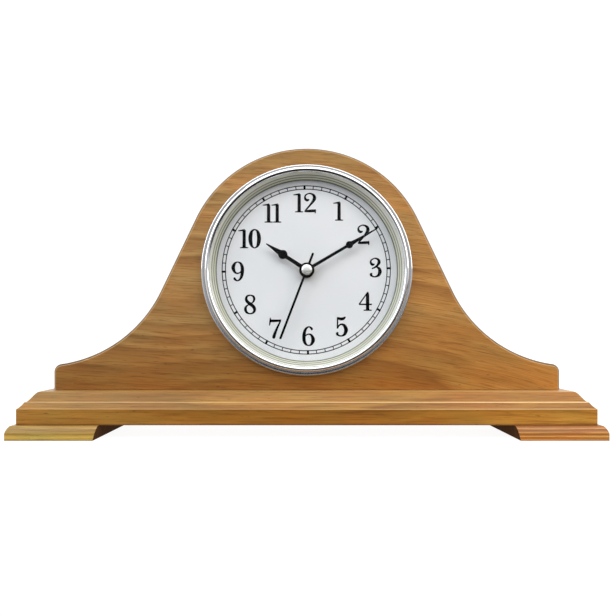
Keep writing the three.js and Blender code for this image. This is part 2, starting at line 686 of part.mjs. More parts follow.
// A shell with a chamber for the wheels and a tray for the cell, joined by a slot at each end that
// lets a contact through.
function housingBody() {
  const back = COVER_FRONT_H + GAP;
  const outline = roundedRectangle(-HOUSING_HALF_WIDTH, HOUSING_HALF_WIDTH,
    HOUSING_BELOW, HOUSING_ABOVE, HOUSING_CORNER);
  const shell = join([plate(outline, back, HOUSING_FRONT_H),
    cylinder(BUSH_OUT, HOUSING_INNER_H, BUSH_TOP_H)]);
  const half = TRAY_HALF_LENGTH;
  const low = back - GAP;
  const inner = HOUSING_INNER_H - GAP;
  const slotFront = BOARD_H + BOARD_THICKNESS + CONTACT_WIDTH + GAP * 2;
  const slot = (x0, x1) => block(x0, x1, TRAY_TOP - JOIN, CHAMBER_BOTTOM + JOIN, low, slotFront);
  const hollowed = cut(shell, [
    block(-half, half, CHAMBER_BOTTOM, CHAMBER_TOP, low, HOUSING_INNER_H),
    block(-half, half, TRAY_BOTTOM, TRAY_TOP, low, HOUSING_INNER_H),
    slot(-half, CONTACT_SLOT - half),
    slot(half - CONTACT_SLOT, half),
    cylinder(BUSH_IN, inner, BUSH_TOP_H + GAP),
    pivotHole(THIRD, inner, PIVOT_FRONT_H + GAP),
    pivotHole(KNOB, inner, PIVOT_FRONT_H + GAP),
  ]);
  const post = cylinder(ARBOR_RADIUS, MOTION_H - JOIN, HOUSING_INNER_H + JOIN, MOTION, PIVOT_SEGMENTS);
  return hollowed.add(post);
}

function coverBody() {
  const outline = roundedRectangle(-HOUSING_HALF_WIDTH, HOUSING_HALF_WIDTH,
    TRAY_TOP, HOUSING_ABOVE, HOUSING_WALL);
  const high = COVER_FRONT_H + GAP;
  const holes = [CENTRE, THIRD, INTERMEDIATE, ROTOR].map((at) => pivotHole(at, PIVOT_BACK_H - GAP, high));
  const knobHole = cylinder(KNOB_SHAFT_RADIUS + PIPE_CLEARANCE, COVER_BACK_H - GAP, high, KNOB);
  return cut(plate(outline, COVER_BACK_H, COVER_FRONT_H), [...holes, knobHole]);
}

// The middle plate carries the front pivots of the rotor and of the intermediate wheel.
function middlePlateBody() {
  const low = PLATE_H - GAP;
  const high = PLATE_H + PLATE_THICKNESS + GAP;
  const half = TRAY_HALF_LENGTH - GAP;
  const thirdLeaf = CENTRE_MODULE * (THIRD_LEAVES / 2 + 1);
  const sheet = block(-half, half, CHAMBER_BOTTOM + GAP, CHAMBER_TOP - GAP, low + GAP, high - GAP);
  return cut(sheet, [
    cylinder(thirdLeaf + GAP, low, high, THIRD),
    cylinder(KNOB_SHAFT_RADIUS + PIPE_CLEARANCE, low, high, KNOB),
    ...[CENTRE, INTERMEDIATE, ROTOR].map((at) => pivotHole(at, low, high)),
  ]);
}

function nutBody() {
  const flats = arc(CENTRE, NUT_FLATS / Math.sqrt(3), 0, Math.PI * 2, 6).slice(0, -1);
  const shape = new THREE.Shape(flats);
  shape.holes.push(circle(BUSH_OUT + GAP));
  return plate(shape, NUT_H, NUT_H + NUT_THICKNESS);
}

// Gears

function gearShape(teeth, module, turn, form, bore) {
  const pitchRadius = (module * teeth) / 2;
  const pitchAngle = (Math.PI * 2) / teeth;
  const flank = form.map(([height, half]) => [pitchRadius + height * module, half * pitchAngle]);
  const outline = [...flank.map(([radius, half]) => [radius, -half]), ...[...flank].reverse()];
  const points = [];
  for (let tooth = 0; tooth < teeth; tooth += 1) {
    const middle = turn + tooth * pitchAngle;
    outline.forEach(([radius, side]) => points.push(polar(CENTRE, radius, middle + side)));
  }
  const shape = new THREE.Shape(points);
  if (bore) shape.holes.push(circle(bore));
  return shape;
}

function wheel(teeth, module, turn, low, bore) {
  return plate(gearShape(teeth, module, turn, WHEEL_FORM, bore), low, low + WHEEL_THICKNESS);
}

function pinion(leaves, module, turn, low, high, bore) {
  return plate(gearShape(leaves, module, turn, LEAF_FORM, bore), low, high);
}

// How far a follower is turned so that its gap faces the driver's tooth across the line of centres.
function meshTurn(driverTeeth, driverTurn, direction, followerTeeth) {
  const full = Math.PI * 2;
  const driverPhase = ((direction - driverTurn) / full) * driverTeeth;
  const followerPhase = 0.5 - driverPhase;
  return direction + Math.PI - (followerPhase * full) / followerTeeth;
}

function rotorBody() {
  const top = THIRD_H + WHEEL_THICKNESS - GAP;
  return join([
    cylinder(ARBOR_RADIUS, PIVOT_BACK_H + GAP, PLATE_H + PIVOT_DEPTH, CENTRE, PIVOT_SEGMENTS),
    cylinder(MAGNET_RADIUS, top - MAGNET_THICKNESS, top),
    pinion(ROTOR_LEAVES, ROTOR_MODULE, 0, INTERMEDIATE_H, SECONDS_H),
  ]).translate([ROTOR.x, ROTOR.y, 0]);
}

function intermediateBody() {
  const turn = meshTurn(ROTOR_LEAVES, 0, ROTOR_DIRECTION + Math.PI, INTERMEDIATE_TEETH);
  return join([
    cylinder(ARBOR_RADIUS, PIVOT_BACK_H + GAP, PLATE_H + PIVOT_DEPTH, CENTRE, PIVOT_SEGMENTS),
    wheel(INTERMEDIATE_TEETH, ROTOR_MODULE, turn, INTERMEDIATE_H),
    pinion(INTERMEDIATE_LEAVES, SECONDS_MODULE, 0, INTERMEDIATE_H + JOIN, SECONDS_H + WHEEL_THICKNESS),
  ]).translate([INTERMEDIATE.x, INTERMEDIATE.y, 0]);
}

function secondsBody() {
  const turn = meshTurn(INTERMEDIATE_LEAVES, 0, INTERMEDIATE_DIRECTION + Math.PI, SECONDS_TEETH);
  return join([
    cylinder(ARBOR_RADIUS, PIVOT_BACK_H + GAP, SECOND_HAND_H + SECOND_HAND.sheet, CENTRE, PIVOT_SEGMENTS),
    wheel(SECONDS_TEETH, SECONDS_MODULE, turn, SECONDS_H),
    pinion(SECONDS_LEAVES, THIRD_MODULE, 0, SECONDS_H + JOIN, THIRD_H + WHEEL_THICKNESS),
  ]);
}

function thirdBody() {
  const turn = meshTurn(SECONDS_LEAVES, 0, THIRD_DIRECTION, THIRD_TEETH);
  return join([
    cylinder(ARBOR_RADIUS, PIVOT_BACK_H + GAP, PIVOT_FRONT_H, CENTRE, PIVOT_SEGMENTS),
    wheel(THIRD_TEETH, THIRD_MODULE, turn, THIRD_H),
    pinion(THIRD_LEAVES, CENTRE_MODULE, 0, THIRD_H + JOIN, CENTRE_H + WHEEL_THICKNESS),
  ]).translate([THIRD.x, THIRD.y, 0]);
}

function centreBody() {
  const turn = meshTurn(THIRD_LEAVES, 0, THIRD_DIRECTION + Math.PI, CENTRE_TEETH);
  return wheel(CENTRE_TEETH, CENTRE_MODULE, turn, CENTRE_H, MINUTE_PIPE_OUT + PIPE_CLEARANCE);
}

// The minute pipe drives the motion work by its leaves and carries the minute hand at its front.
function minutePipeBody() {
  const top = MINUTE_HAND_H + MINUTE_HAND.sheet;
  return join([
    tube(MINUTE_PIPE_IN, MINUTE_PIPE_OUT, CENTRE_H, top),
    pinion(MINUTE_LEAVES, MOTION_MODULE, 0, MOTION_H, MOTION_H + WHEEL_THICKNESS, MINUTE_PIPE_OUT - JOIN),
  ]);
}

function motionBody() {
  const turn = meshTurn(MINUTE_LEAVES, 0, MOTION_DIRECTION, MOTION_TEETH);
  const bore = ARBOR_RADIUS + PIPE_CLEARANCE;
  return join([
    wheel(MOTION_TEETH, MOTION_MODULE, turn, MOTION_H, bore),
    pinion(MOTION_LEAVES, HOUR_MODULE, 0, MOTION_H + JOIN, HOUR_WHEEL_H + WHEEL_THICKNESS, bore),
  ]).translate([MOTION.x, MOTION.y, 0]);
}

function hourWheelBody() {
  const turn = meshTurn(MOTION_LEAVES, 0, MOTION_DIRECTION + Math.PI, HOUR_TEETH);
  return join([
    tube(HOUR_PIPE_IN, HOUR_PIPE_OUT, HOUR_WHEEL_H, HOUR_HAND_H + HOUR_HAND.sheet),
    wheel(HOUR_TEETH, HOUR_MODULE, turn, HOUR_WHEEL_H, HOUR_PIPE_OUT - JOIN),
  ]);
}

function knobBody() {
  const motionTurn = meshTurn(MINUTE_LEAVES, 0, MOTION_DIRECTION, MOTION_TEETH);
  const turn = meshTurn(MOTION_TEETH, motionTurn, KNOB_DIRECTION, KNOB_LEAVES);
  const knobFront = COVER_BACK_H - GAP;
  const rim = [];
  for (let i = 0; i < KNOB_RIBS * 2; i += 1) {
    rim.push(polar(CENTRE, KNOB_RADIUS - (i % 2) * KNOB_RIB, (Math.PI * i) / KNOB_RIBS));
  }
  return join([
    cylinder(ARBOR_RADIUS, MOTION_H, PIVOT_FRONT_H, CENTRE, PIVOT_SEGMENTS),
    pinion(KNOB_LEAVES, MOTION_MODULE, turn, MOTION_H, MOTION_H + WHEEL_THICKNESS),
    cylinder(KNOB_SHAFT_RADIUS, knobFront - JOIN, MOTION_H + JOIN),
    plate(new THREE.Shape(rim), knobFront - KNOB_HEIGHT, knobFront),
  ]).translate([KNOB.x, KNOB.y, 0]);
}

// Motor and circuit

// A bar round the rotor with an ear at each end, where the coil's core lies on it.
function statorBody() {
  const reach = STATOR_RIGHT + STATOR_REACH;
  const shape = new THREE.Shape([
    new THREE.Vector2(STATOR_LEFT, STATOR_LOW),
    new THREE.Vector2(reach, STATOR_LOW),
    new THREE.Vector2(reach, STATOR_LOW + STATOR_EAR),
    new THREE.Vector2(STATOR_RIGHT, STATOR_LOW + STATOR_EAR),
    new THREE.Vector2(STATOR_RIGHT, STATOR_HIGH - STATOR_EAR),
    new THREE.Vector2(reach, STATOR_HIGH - STATOR_EAR),
    new THREE.Vector2(reach, STATOR_HIGH),
    new THREE.Vector2(STATOR_LEFT, STATOR_HIGH),
  ]);
  const top = STATOR_H + STATOR_THICKNESS;
  const hole = cylinder(MAGNET_RADIUS + STATOR_GAP, STATOR_H - GAP, top + GAP, ROTOR);
  return plate(shape, STATOR_H, top).subtract(hole);
}

function coreBody() {
  return block(CORE_X - CORE_WIDTH / 2, CORE_X + CORE_WIDTH / 2, STATOR_LOW, STATOR_HIGH,
    CORE_H, CORE_H + STATOR_THICKNESS);
}

// A spool of wire round the core: a neck between two flanges.
function coilBody() {
  const low = STATOR_LOW + STATOR_EAR + GAP;
  const high = STATOR_HIGH - STATOR_EAR - GAP;
  const middle = CORE_H + STATOR_THICKNESS / 2;
  const spool = turned([
    [0, low],
    [COIL_RADIUS, low],
    [COIL_RADIUS, low + COIL_FLANGE],
    [COIL_NECK, low + COIL_FLANGE],
    [COIL_NECK, high - COIL_FLANGE],
    [COIL_RADIUS, high - COIL_FLANGE],
    [COIL_RADIUS, high],
    [0, high],
  ], PIPE_SEGMENTS).rotate([-90, 0, 0]).translate([CORE_X, 0, middle]);
  const half = CORE_WIDTH / 2 + GAP;
  return spool.subtract(block(CORE_X - half, CORE_X + half, low - GAP, high + GAP,
    CORE_H - GAP, CORE_H + STATOR_THICKNESS + GAP));
}

function boardBody() {
  const left = GAP - TRAY_HALF_LENGTH;
  const top = BOARD_H + BOARD_THICKNESS;
  const board = block(left, BOARD_RIGHT, CHAMBER_BOTTOM + GAP, CHAMBER_TOP - GAP, BOARD_H, top);
  const chip = turned([
    [0, top - JOIN],
    [CHIP.radius, top - JOIN],
    [CHIP.crown, top + CHIP.side],
    [0, top + CHIP.height],
  ], SCREW_SEGMENTS).translate([(left + BOARD_RIGHT) / 2, 0, 0]);
  return board.add(chip);
}

function crystalBody() {
  const can = turned([
    [0, 0],
    [CRYSTAL_RADIUS, 0],
    [CRYSTAL_RADIUS, CRYSTAL_LENGTH - CRYSTAL_EDGE],
    [CRYSTAL_RADIUS - CRYSTAL_EDGE, CRYSTAL_LENGTH],
    [0, CRYSTAL_LENGTH],
  ], SCREW_SEGMENTS).rotate([90, 0, 0]);
  const x = (GAP - TRAY_HALF_LENGTH + BOARD_RIGHT) / 2;
  return can.translate([x, CHAMBER_TOP - GAP * 2, BOARD_H + BOARD_THICKNESS + GAP + CRYSTAL_RADIUS]);
}

// Cell and contacts

function cellBody() {
  const start = -CELL_LENGTH / 2;
  const shoulder = start + CELL_LENGTH - CELL_NUB;
  return turned([
    [0, start],
    [CELL_RADIUS - CELL_EDGE, start],
    [CELL_RADIUS, start + CELL_EDGE],
    [CELL_RADIUS, shoulder - CELL_EDGE],
    [CELL_RADIUS - CELL_EDGE, shoulder],
    [CELL_NUB_RADIUS, shoulder],
    [CELL_NUB_RADIUS, start + CELL_LENGTH],
    [0, start + CELL_LENGTH],
  ], BODY_SEGMENTS).rotate([0, 90, 0]).translate([0, CELL_Y, CELL_H]);
}

// A sheet strip bent along a path of [x, y] points and as wide as the contact.
function bentStrip(path) {
  const points = path.map(([x, y]) => new THREE.Vector2(x, y));
  const offset = points.map((point, i) => {
    const before = points[Math.max(i - 1, 0)];
    const after = points[Math.min(i + 1, points.length - 1)];
    const one = point.clone().sub(i > 0 ? before : point);
    const two = after.clone().sub(i < points.length - 1 ? point : after);
    const along = one.normalize().add(two.normalize()).normalize();
    const normal = new THREE.Vector2(-along.y, along.x);
    const edge = i > 0 ? point.clone().sub(before).normalize() : after.clone().sub(point).normalize();
    const lean = normal.dot(new THREE.Vector2(-edge.y, edge.x));
    return point.clone().addScaledVector(normal, CONTACT_SHEET / lean);
  });
  const low = BOARD_H + BOARD_THICKNESS + GAP;
  return plate(new THREE.Shape([...points, ...offset.reverse()]), low, low + CONTACT_WIDTH);
}

// The springy bow in a contact that reaches for the cell, drawn from y0 to y1.
function bow(x, toward, y0, y1) {
  const step = (y1 - y0) / 6;
  return [[x, y0 + step], [x + toward, y0 + step * 2], [x + toward, y1 - step * 2], [x, y1 - step]];
}

function minusContactBody() {
  const x = CONTACT_SHEET + GAP - TRAY_HALF_LENGTH;
  const bottom = TRAY_BOTTOM + GAP * 4;
  const top = CHAMBER_BOTTOM + CONTACT_WIDTH;
  return bentStrip([[x, bottom], ...bow(x, CONTACT_BOW, bottom, TRAY_TOP), [x, top]]);
}

function plusContactBody() {
  const x = TRAY_HALF_LENGTH - GAP;
  const bottom = TRAY_BOTTOM + GAP * 4;
  const shelf = CHAMBER_BOTTOM + GAP;
  return bentStrip([[x, bottom], ...bow(x, -CONTACT_BOW, bottom, TRAY_TOP), [x, shelf + CONTACT_SHEET],
    [BOARD_RIGHT - GAP * 4, shelf + CONTACT_SHEET]]);
}

// Hands, drawn pointing up

// A hand with a round boss, a straight bar, a round bulb and a long hollow-sided point.
function bulbHand({ length, bulbAt, bulb, bar, boss, sheet }, bore, low) {
  const root = Math.asin(bar / 2 / boss);
  const neck = Math.asin((bar * BULB_NECK) / bulb);
  const from = polar(new THREE.Vector2(0, bulbAt), bulb, BULB_SHOULDER);
  const waist = [bar * TAPER_ACROSS, bulbAt + bulb * TAPER_ALONG];
  const shape = new THREE.Shape();
  shape.absarc(0, 0, boss, Math.PI / 2 + root, Math.PI * 2.5 - root, false);
  shape.absarc(0, bulbAt, bulb, neck - Math.PI / 2, BULB_SHOULDER, false);
  shape.quadraticCurveTo(waist[0], waist[1], HAND_TIP, length);
  shape.lineTo(-HAND_TIP, length);
  shape.quadraticCurveTo(-waist[0], waist[1], -from.x, from.y);
  shape.absarc(0, bulbAt, bulb, Math.PI - BULB_SHOULDER, Math.PI * 1.5 - neck, false);
  shape.holes.push(circle(bore));
  return plate(shape, low, low + sheet);
}

function secondHand() {
  const { length, tail, bar, boss, sheet } = SECOND_HAND;
  const half = bar / 2;
  const lean = Math.asin(half / boss);
  const shape = new THREE.Shape();
  shape.absarc(0, 0, boss, Math.PI / 2 + lean, Math.PI * 1.5 - lean, false);
  shape.lineTo(-half, -tail);
  shape.lineTo(half, -tail);
  shape.absarc(0, 0, boss, lean - Math.PI / 2, Math.PI / 2 - lean, false);
  shape.lineTo(half, length);
  shape.lineTo(-half, length);
  shape.holes.push(circle(ARBOR_RADIUS + GAP));
  return plate(shape, SECOND_HAND_H, SECOND_HAND_H + sheet);
}

function capBody() {
  const points = arc(CENTRE, 1, 0, Math.PI / 2, CAP_STEPS).map((point) => [
    CAP_RADIUS * point.x,
    CAP_H + CAP_EDGE + (CAP_HEIGHT - CAP_EDGE) * point.y,
  ]);
  points.at(-1)[0] = 0;
  return turned([[0, CAP_H], [CAP_RADIUS, CAP_H], ...points], PIPE_SEGMENTS);
}

// Assembly

function buildStand(clock) {
  addPiece(clock, "foot_left", WOOD, footBody(-1));
  addPiece(clock, "foot_right", WOOD, footBody(1));
  addPiece(clock, "base_board", WOOD, baseBody());
  caseScrews(0).forEach((screw, i) => addPiece(clock, `case_screw_${i + 1}`, STEEL, screw));
  footScrews(0).forEach((screw, i) => addPiece(clock, `foot_screw_${i + 1}`, STEEL, screw));
}

function buildDialGroup(dial) {
  addPiece(dial, "bezel_ring", CHROME, bezelBody());
  addPiece(dial, "dial_glass", GLASS, glassBody());
  addPiece(dial, "sight_ring", SATIN, sightRingBody());
  addPiece(dial, "dial_plate", WHITE, dialBody());
  const screws = dialScrewPlaces().map((at) => panHead(DIAL_SCREW, at));
  screws.forEach((screw, i) => addPiece(dial, `dial_screw_${i + 1}`, STEEL, screw));
}

function buildMovement(dial) {
  addPiece(dial, "movement_housing", HOUSING_PLASTIC, housingBody());
  addPiece(dial, "movement_cover", HOUSING_PLASTIC, coverBody());
  addPiece(dial, "middle_plate", GEAR_PLASTIC, middlePlateBody());
  addPiece(dial, "rubber_washer", RUBBER,
    tube(BUSH_OUT + GAP, RUBBER_RADIUS, RUBBER_BACK_H, RUBBER_BACK_H + RUBBER_THICKNESS, BODY_SEGMENTS));
  addPiece(dial, "brass_washer", BRASS,
    tube(BUSH_OUT + GAP, WASHER_RADIUS, WASHER_H, WASHER_H + WASHER_THICKNESS));
  addPiece(dial, "hex_nut", BRASS, nutBody());
  addPiece(dial, "rotor", STEEL, rotorBody());
  addPiece(dial, "stator", STEEL, statorBody());
  addPiece(dial, "coil_core", STEEL, coreBody());
  addPiece(dial, "coil", COPPER, coilBody());
  addPiece(dial, "circuit_board", BOARD_GREEN, boardBody());
  addPiece(dial, "quartz_crystal", STEEL, crystalBody());
  addPiece(dial, "battery_contact_minus", STEEL, minusContactBody());
  addPiece(dial, "battery_contact_plus", STEEL, plusContactBody());
  addPiece(dial, "battery_cell", CELL_SLEEVE, cellBody());
}

function buildTrain(dial) {
  addPiece(dial, "intermediate_wheel", GEAR_PLASTIC, intermediateBody());
  addPiece(dial, "seconds_wheel", GEAR_PLASTIC, secondsBody());
  addPiece(dial, "third_wheel", GEAR_PLASTIC, thirdBody());
  addPiece(dial, "centre_wheel", GEAR_PLASTIC, centreBody());
  addPiece(dial, "minute_pipe", GEAR_PLASTIC, minutePipeBody());
  addPiece(dial, "motion_wheel", GEAR_PLASTIC, motionBody());
  addPiece(dial, "hour_wheel", GEAR_PLASTIC, hourWheelBody());
  addPiece(dial, "setting_knob", GEAR_PLASTIC, knobBody());
}

// Clockwise seen from the front is a negative turn about the axis that points out of the dial.
function buildHands(dial) {
  const hour = bulbHand(HOUR_HAND, HOUR_PIPE_OUT + GAP, HOUR_HAND_H);
  const minute = bulbHand(MINUTE_HAND, MINUTE_PIPE_OUT + GAP, MINUTE_HAND_H);
  addPiece(dial, "hour_hand", BLACK, hour).rotation.z = -HOUR_ANGLE;
  addPiece(dial, "minute_hand", BLACK, minute).rotation.z = -MINUTE_ANGLE;
  addPiece(dial, "second_hand", BLACK, secondHand()).rotation.z = -SECOND_ANGLE;
  addPiece(dial, "hand_cap", CHROME, capBody());
}

const clock = new THREE.Group();
buildStand(clock);

// The case and the dial group are drawn face up and then stood upright, facing the front.
const upright = new THREE.Group();
upright.position.set(0, CASE_FACE, 0);
upright.rotation.x = Math.PI / 2;
addPiece(upright, "case_body", WOOD, caseBody());
clock.add(upright);

const dial = new THREE.Group();
dial.position.set(0, DIAL_Z, 0);
buildDialGroup(dial);
buildMovement(dial);
buildTrain(dial);
buildHands(dial);
upright.add(dial);

export default clock;
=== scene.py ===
"""Dresses the mantel clock: turned, moulded and printed surfaces over its frame, and a plain studio.

Shapes are worked out in millimetres and become metres when their mesh is made. A place on the dial is
given as x to the right, y up and h towards the viewer, from the dial's axis and the case's face.
"""

import math

import bmesh
import bpy
import numpy as np
from bpy.props import FloatProperty, FloatVectorProperty, PointerProperty
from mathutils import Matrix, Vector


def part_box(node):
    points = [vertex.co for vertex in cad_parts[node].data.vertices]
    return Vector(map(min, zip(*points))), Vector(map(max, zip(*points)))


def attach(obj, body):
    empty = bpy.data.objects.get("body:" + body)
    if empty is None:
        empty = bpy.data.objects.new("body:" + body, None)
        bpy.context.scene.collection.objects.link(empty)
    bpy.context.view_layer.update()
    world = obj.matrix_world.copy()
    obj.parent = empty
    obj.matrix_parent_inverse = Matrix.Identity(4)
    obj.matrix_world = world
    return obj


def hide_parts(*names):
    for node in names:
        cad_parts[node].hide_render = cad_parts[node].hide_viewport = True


bl_info = {
    "name": "Mantel clock",
    "version": (1, 0, 0),
    "blender": (4, 5, 0),
    "location": "3D View > Sidebar > Clock",
    "description": "Builds the visible pieces of a wooden mantel clock over its frame",
    "category": "Object",
}

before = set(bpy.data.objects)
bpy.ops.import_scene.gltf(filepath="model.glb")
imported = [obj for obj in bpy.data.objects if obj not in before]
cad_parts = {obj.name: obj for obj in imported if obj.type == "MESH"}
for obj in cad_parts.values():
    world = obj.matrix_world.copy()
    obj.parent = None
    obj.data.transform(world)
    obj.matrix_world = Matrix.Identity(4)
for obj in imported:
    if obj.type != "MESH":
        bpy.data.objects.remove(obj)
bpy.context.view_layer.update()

MM = 0.001
TURN = 2 * math.pi

# Distance within which two points are one, and the angles past which an edge is sharp or is rounded.
MERGE = 2e-7
CREASE = math.radians(32)
ARRIS_LIMIT = math.radians(30)


def reach(node):
    """Lowest and highest corner of a node of the frame, in millimetres."""
    low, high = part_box(node)
    return np.array(low) / MM, np.array(high) / MM


CASE_LOW, CASE_HIGH = reach("case_body")
BASE_LOW, BASE_HIGH = reach("base_board")
FOOT_LOW, FOOT_HIGH = reach("foot_right")
FACE_Y = CASE_LOW[1]
AXIS_Z = sum(corner[2] for corner in reach("dial_plate")) / 2

# Case: the same round arch, straight flanks, hollow shoulders and seat for the dial as in the frame.
ARCH_RADIUS = 94.3
FLANK_ANGLE = math.radians(64.3)
SHOULDER_SLOPE = math.radians(8.1)
SHOULDER_HEIGHT = 19.4
CORNER_RADIUS = 6.0
EDGE_ROUND = 2.0
REBATE_RADIUS = 76.5
LEDGE_DEPTH = 4.3
BORE_RADIUS = 55.0
MOUTH_CHAMFER = 0.3
HOLE_ANGLES = np.radians([-54, -50, -8, 90])

# Base and feet: heights and insets of the moulding, whose insets are smaller at the base's ends. Faces
# of a foot whose normal points inwards by more than INWARD are its unlacquered end, painted dark as
# shade under the base.
FASCIA_HEIGHT = 11.5
SPLAY_WIDTH = 4.3
SPLAY_HEIGHT = 4.5
SPLAY_HOLLOW = 0.4
OGEE_WIDTH = 8.4
END_SHARE = 0.87
FOOT_ROUND = (2.7, 5.3)
FOOT_CREASE = math.radians(10)
FOOT_UNDERCUT = 2.7
INWARD = 0.7

# Bezel, sight ring, glass and cap.
GAP = 0.3
RIM_RADIUS = 0.8
RIM_CHAMFER = 0.3
BEAD_RADIUS = 1.9
BEAD_INSET = 5.3
BEAD_LIP = 0.1
BEZEL_WALL = 0.6
SIGHT_FOOT = 69.4
SIGHT_FLARE = 73.6
SIGHT_STEP = 0.12
SIGHT_LINES = (71.0, 72.3)
FLANGE_START = 0.25
SHEET = 0.8
GLASS_THICKNESS = 1.6
GLASS_EDGE = 0.2
GLASS_INDEX = 1.18
CAP_EDGE = 0.4
CAP_CHAMFER = 0.1

# Print on the dial: the minute track and the numerals.
DIAL_TURN = math.radians(-1.2)
TRACK_INNER = 62.15
TRACK_OUTER = 64.7
TRACK_LINE = 0.7
TICK_WIDTH = 0.65
BOLD_TICK_WIDTH = 1.6
BOLD_TICK_REACH = 0.45
PRINT_SHIFT = (-0.4, 0.0, 0.6)
NUMERAL_PLACES = [(24.7, 45.9), (43.4, 27.9), (52.9, 2.5), (45.1, -23.4), (26.9, -43.0), (1.4, -50.3),
                  (-24.4, -44.9), (-43.4, -25.9), (-53.1, -0.5), (-43.4, 24.7), (-26.2, 44.4), (-1.0, 52.3)]
NUMERAL_GAP = 0.025
INK_SPREAD = 0.16
INK_HEIGHT = 0.04
INK_SINK = 0.02
STROKE_STEPS = 10

# Hands: as long as in the frame, with slightly broader bars and bulbs, and the hour hand half a degree
# off its solid. A bar starts inside its boss, at a share of the boss's radius, and a bevel takes up to a
# share of the half width. FINE_END is how far round a fine hand's end goes.
HOUR_ANGLE = math.radians(303)
MINUTE_ANGLE = math.radians(59.5)
SECOND_ANGLE = math.radians(201)
HOUR_HAND = {"length": 36.8, "bulb_at": 21.7, "bulb": 3.5, "bar": 3.1, "boss": 5.8, "bore": 3.1}
MINUTE_HAND = {"length": 62.2, "bulb_at": 37.5, "bulb": 2.75, "bar": 2.4, "boss": 4.6, "bore": 1.9}
SECOND_HAND = {"length": 56.3, "tail": 13.6, "bar": 1.75, "boss": 3.0, "bore": 0.8}
HAND_TIP = 0.4
HAND_BEVEL = 0.12
BEVEL_SHARE = 0.6
BULB_BAR_START = 0.85
FINE_BAR_START = 0.9
FINE_END = math.pi / 2 - 0.1
BULB_NECK = 0.45
BULB_SHOULDER = math.radians(52)
BULB_TAPER = 1.9

# Floor: where it starts, where it bends up, the bend's radius, how high and how far aside it goes.
FLOOR_FRONT = -58.0
FLOOR_BEND_AT = 900.0
FLOOR_BEND = 500.0
FLOOR_TOP = 1500.0
FLOOR_HALF_WIDTH = 1500.0

# Surroundings: where the light changes, as shares of the way from straight down to straight up. The
# side boards fade in over a range of the direction's X, and over one of its Z with the lean added.
GROUND_END = 0.46
HORIZON = 0.52
SKY_START = 0.68
BOARD_SIDE = (0.6, 0.9)
BOARD_FOOT = (-0.45, -0.3)
BOARD_LEAN = -0.4
PAPER_STRENGTH = 1.05

# Camera and lights: the camera's place in metres, the shift of its view, its sensor, and the point
# that the front and side lights face.
CAMERA_PLACE = (0.0, -0.422, 0.07575)
CAMERA_SHIFT = (0.002, 0.0426)
SENSOR_WIDTH = 36.0
AIM = (0.0, 0.0, 0.1)


def paint(code):
    """A colour written as six hex digits, made linear as the shaders need it."""
    values = np.array([int(code[i:i + 2], 16) for i in (0, 2, 4)]) / 255
    return tuple(np.where(values <= 0.04045, values / 12.92, ((values + 0.055) / 1.055) ** 2.4))


def colour(name, about, code):
    return FloatVectorProperty(name=name, description=about, subtype="COLOR", size=3,
                               min=0.0, max=1.0, default=paint(code))


def amount(name, about, value, **kind):
    return FloatProperty(**{"name": name, "description": about, "default": value, "min": 0.0, **kind})


def share(name, about, value):
    return amount(name, about, value, subtype="FACTOR", max=1.0)


def distance(name, about, millimetres):
    return amount(name, about, millimetres * MM, subtype="DISTANCE", unit="LENGTH")


# Meshes


def quads(rows, columns, close_rows, close_columns):
    """Corner numbers of the quads of a grid, row by row. A closed side joins its last line to its first."""
    row, column = np.meshgrid(np.arange(rows if close_rows else rows - 1),
                              np.arange(columns if close_columns else columns - 1), indexing="ij")
    row_after = (row + 1) % rows
    column_after = (column + 1) % columns
    corners = (row * columns + column, row * columns + column_after,
               row_after * columns + column_after, row_after * columns + column)
    return np.stack(corners, axis=-1).reshape(-1, 4)


def skin(points, close_rows=False, close_columns=True):
    """Points and quads of a grid (rows, columns, 3), or of a stack of equal grids."""
    rows, columns = points.shape[-3:-1]
    cells = quads(rows, columns, close_rows, close_columns)
    copies = points.reshape(-1, rows * columns, 3)
    starts = np.arange(len(copies)) * rows * columns
    faces = (cells[None] + starts[:, None, None]).reshape(-1, 4)
    return copies.reshape(-1, 3), faces


def capped(rows):
    """Closed rows of points as a skin whose ends are closed by flat fans from their middles."""
    ends = rows[[0, -1]]
    caps = np.broadcast_to(ends.mean(axis=1, keepdims=True), ends.shape)
    return skin(np.concatenate([caps[:1], rows, caps[1:]]))


def make_mesh(name, skins, material):
    """One mesh from (points, quads) pairs in millimetres. Doubled points merge and faces turn outwards."""
    counts = np.cumsum([0] + [len(points) for points, _ in skins])
    points = np.concatenate([points for points, _ in skins]) * MM
    faces = np.concatenate([faces + start for (_, faces), start in zip(skins, counts)])
    mesh = bpy.data.meshes.new(name)
    mesh.vertices.add(len(points))
    mesh.vertices.foreach_set("co", points.ravel())
    mesh.loops.add(faces.size)
    mesh.loops.foreach_set("vertex_index", faces.ravel())
    mesh.polygons.add(len(faces))
    mesh.polygons.foreach_set("loop_start", np.arange(0, faces.size, 4))
    mesh.update(calc_edges=True)
    shape = bmesh.new()
    shape.from_mesh(mesh)
    bmesh.ops.remove_doubles(shape, verts=shape.verts, dist=MERGE)
    bmesh.ops.recalc_face_normals(shape, faces=shape.faces)
    shape.to_mesh(mesh)
    shape.free()
    mesh.materials.append(material)
    mesh.shade_smooth()
    return mesh


def add_object(name, data):
    """A new object of the scene, at the origin."""
    piece = bpy.data.objects.new(name, data)
    bpy.context.scene.collection.objects.link(piece)
    return piece


def add_piece(name, skins, material, body, replaced=()):
    """A finished piece that rides on a body and stands for the nodes it replaces."""
    mesh = make_mesh(name, skins, material)
    mesh.set_sharp_from_angle(angle=CREASE)
    piece = add_object(name, mesh)
    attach(piece, body)
    if replaced:
        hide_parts(*replaced)
    return piece


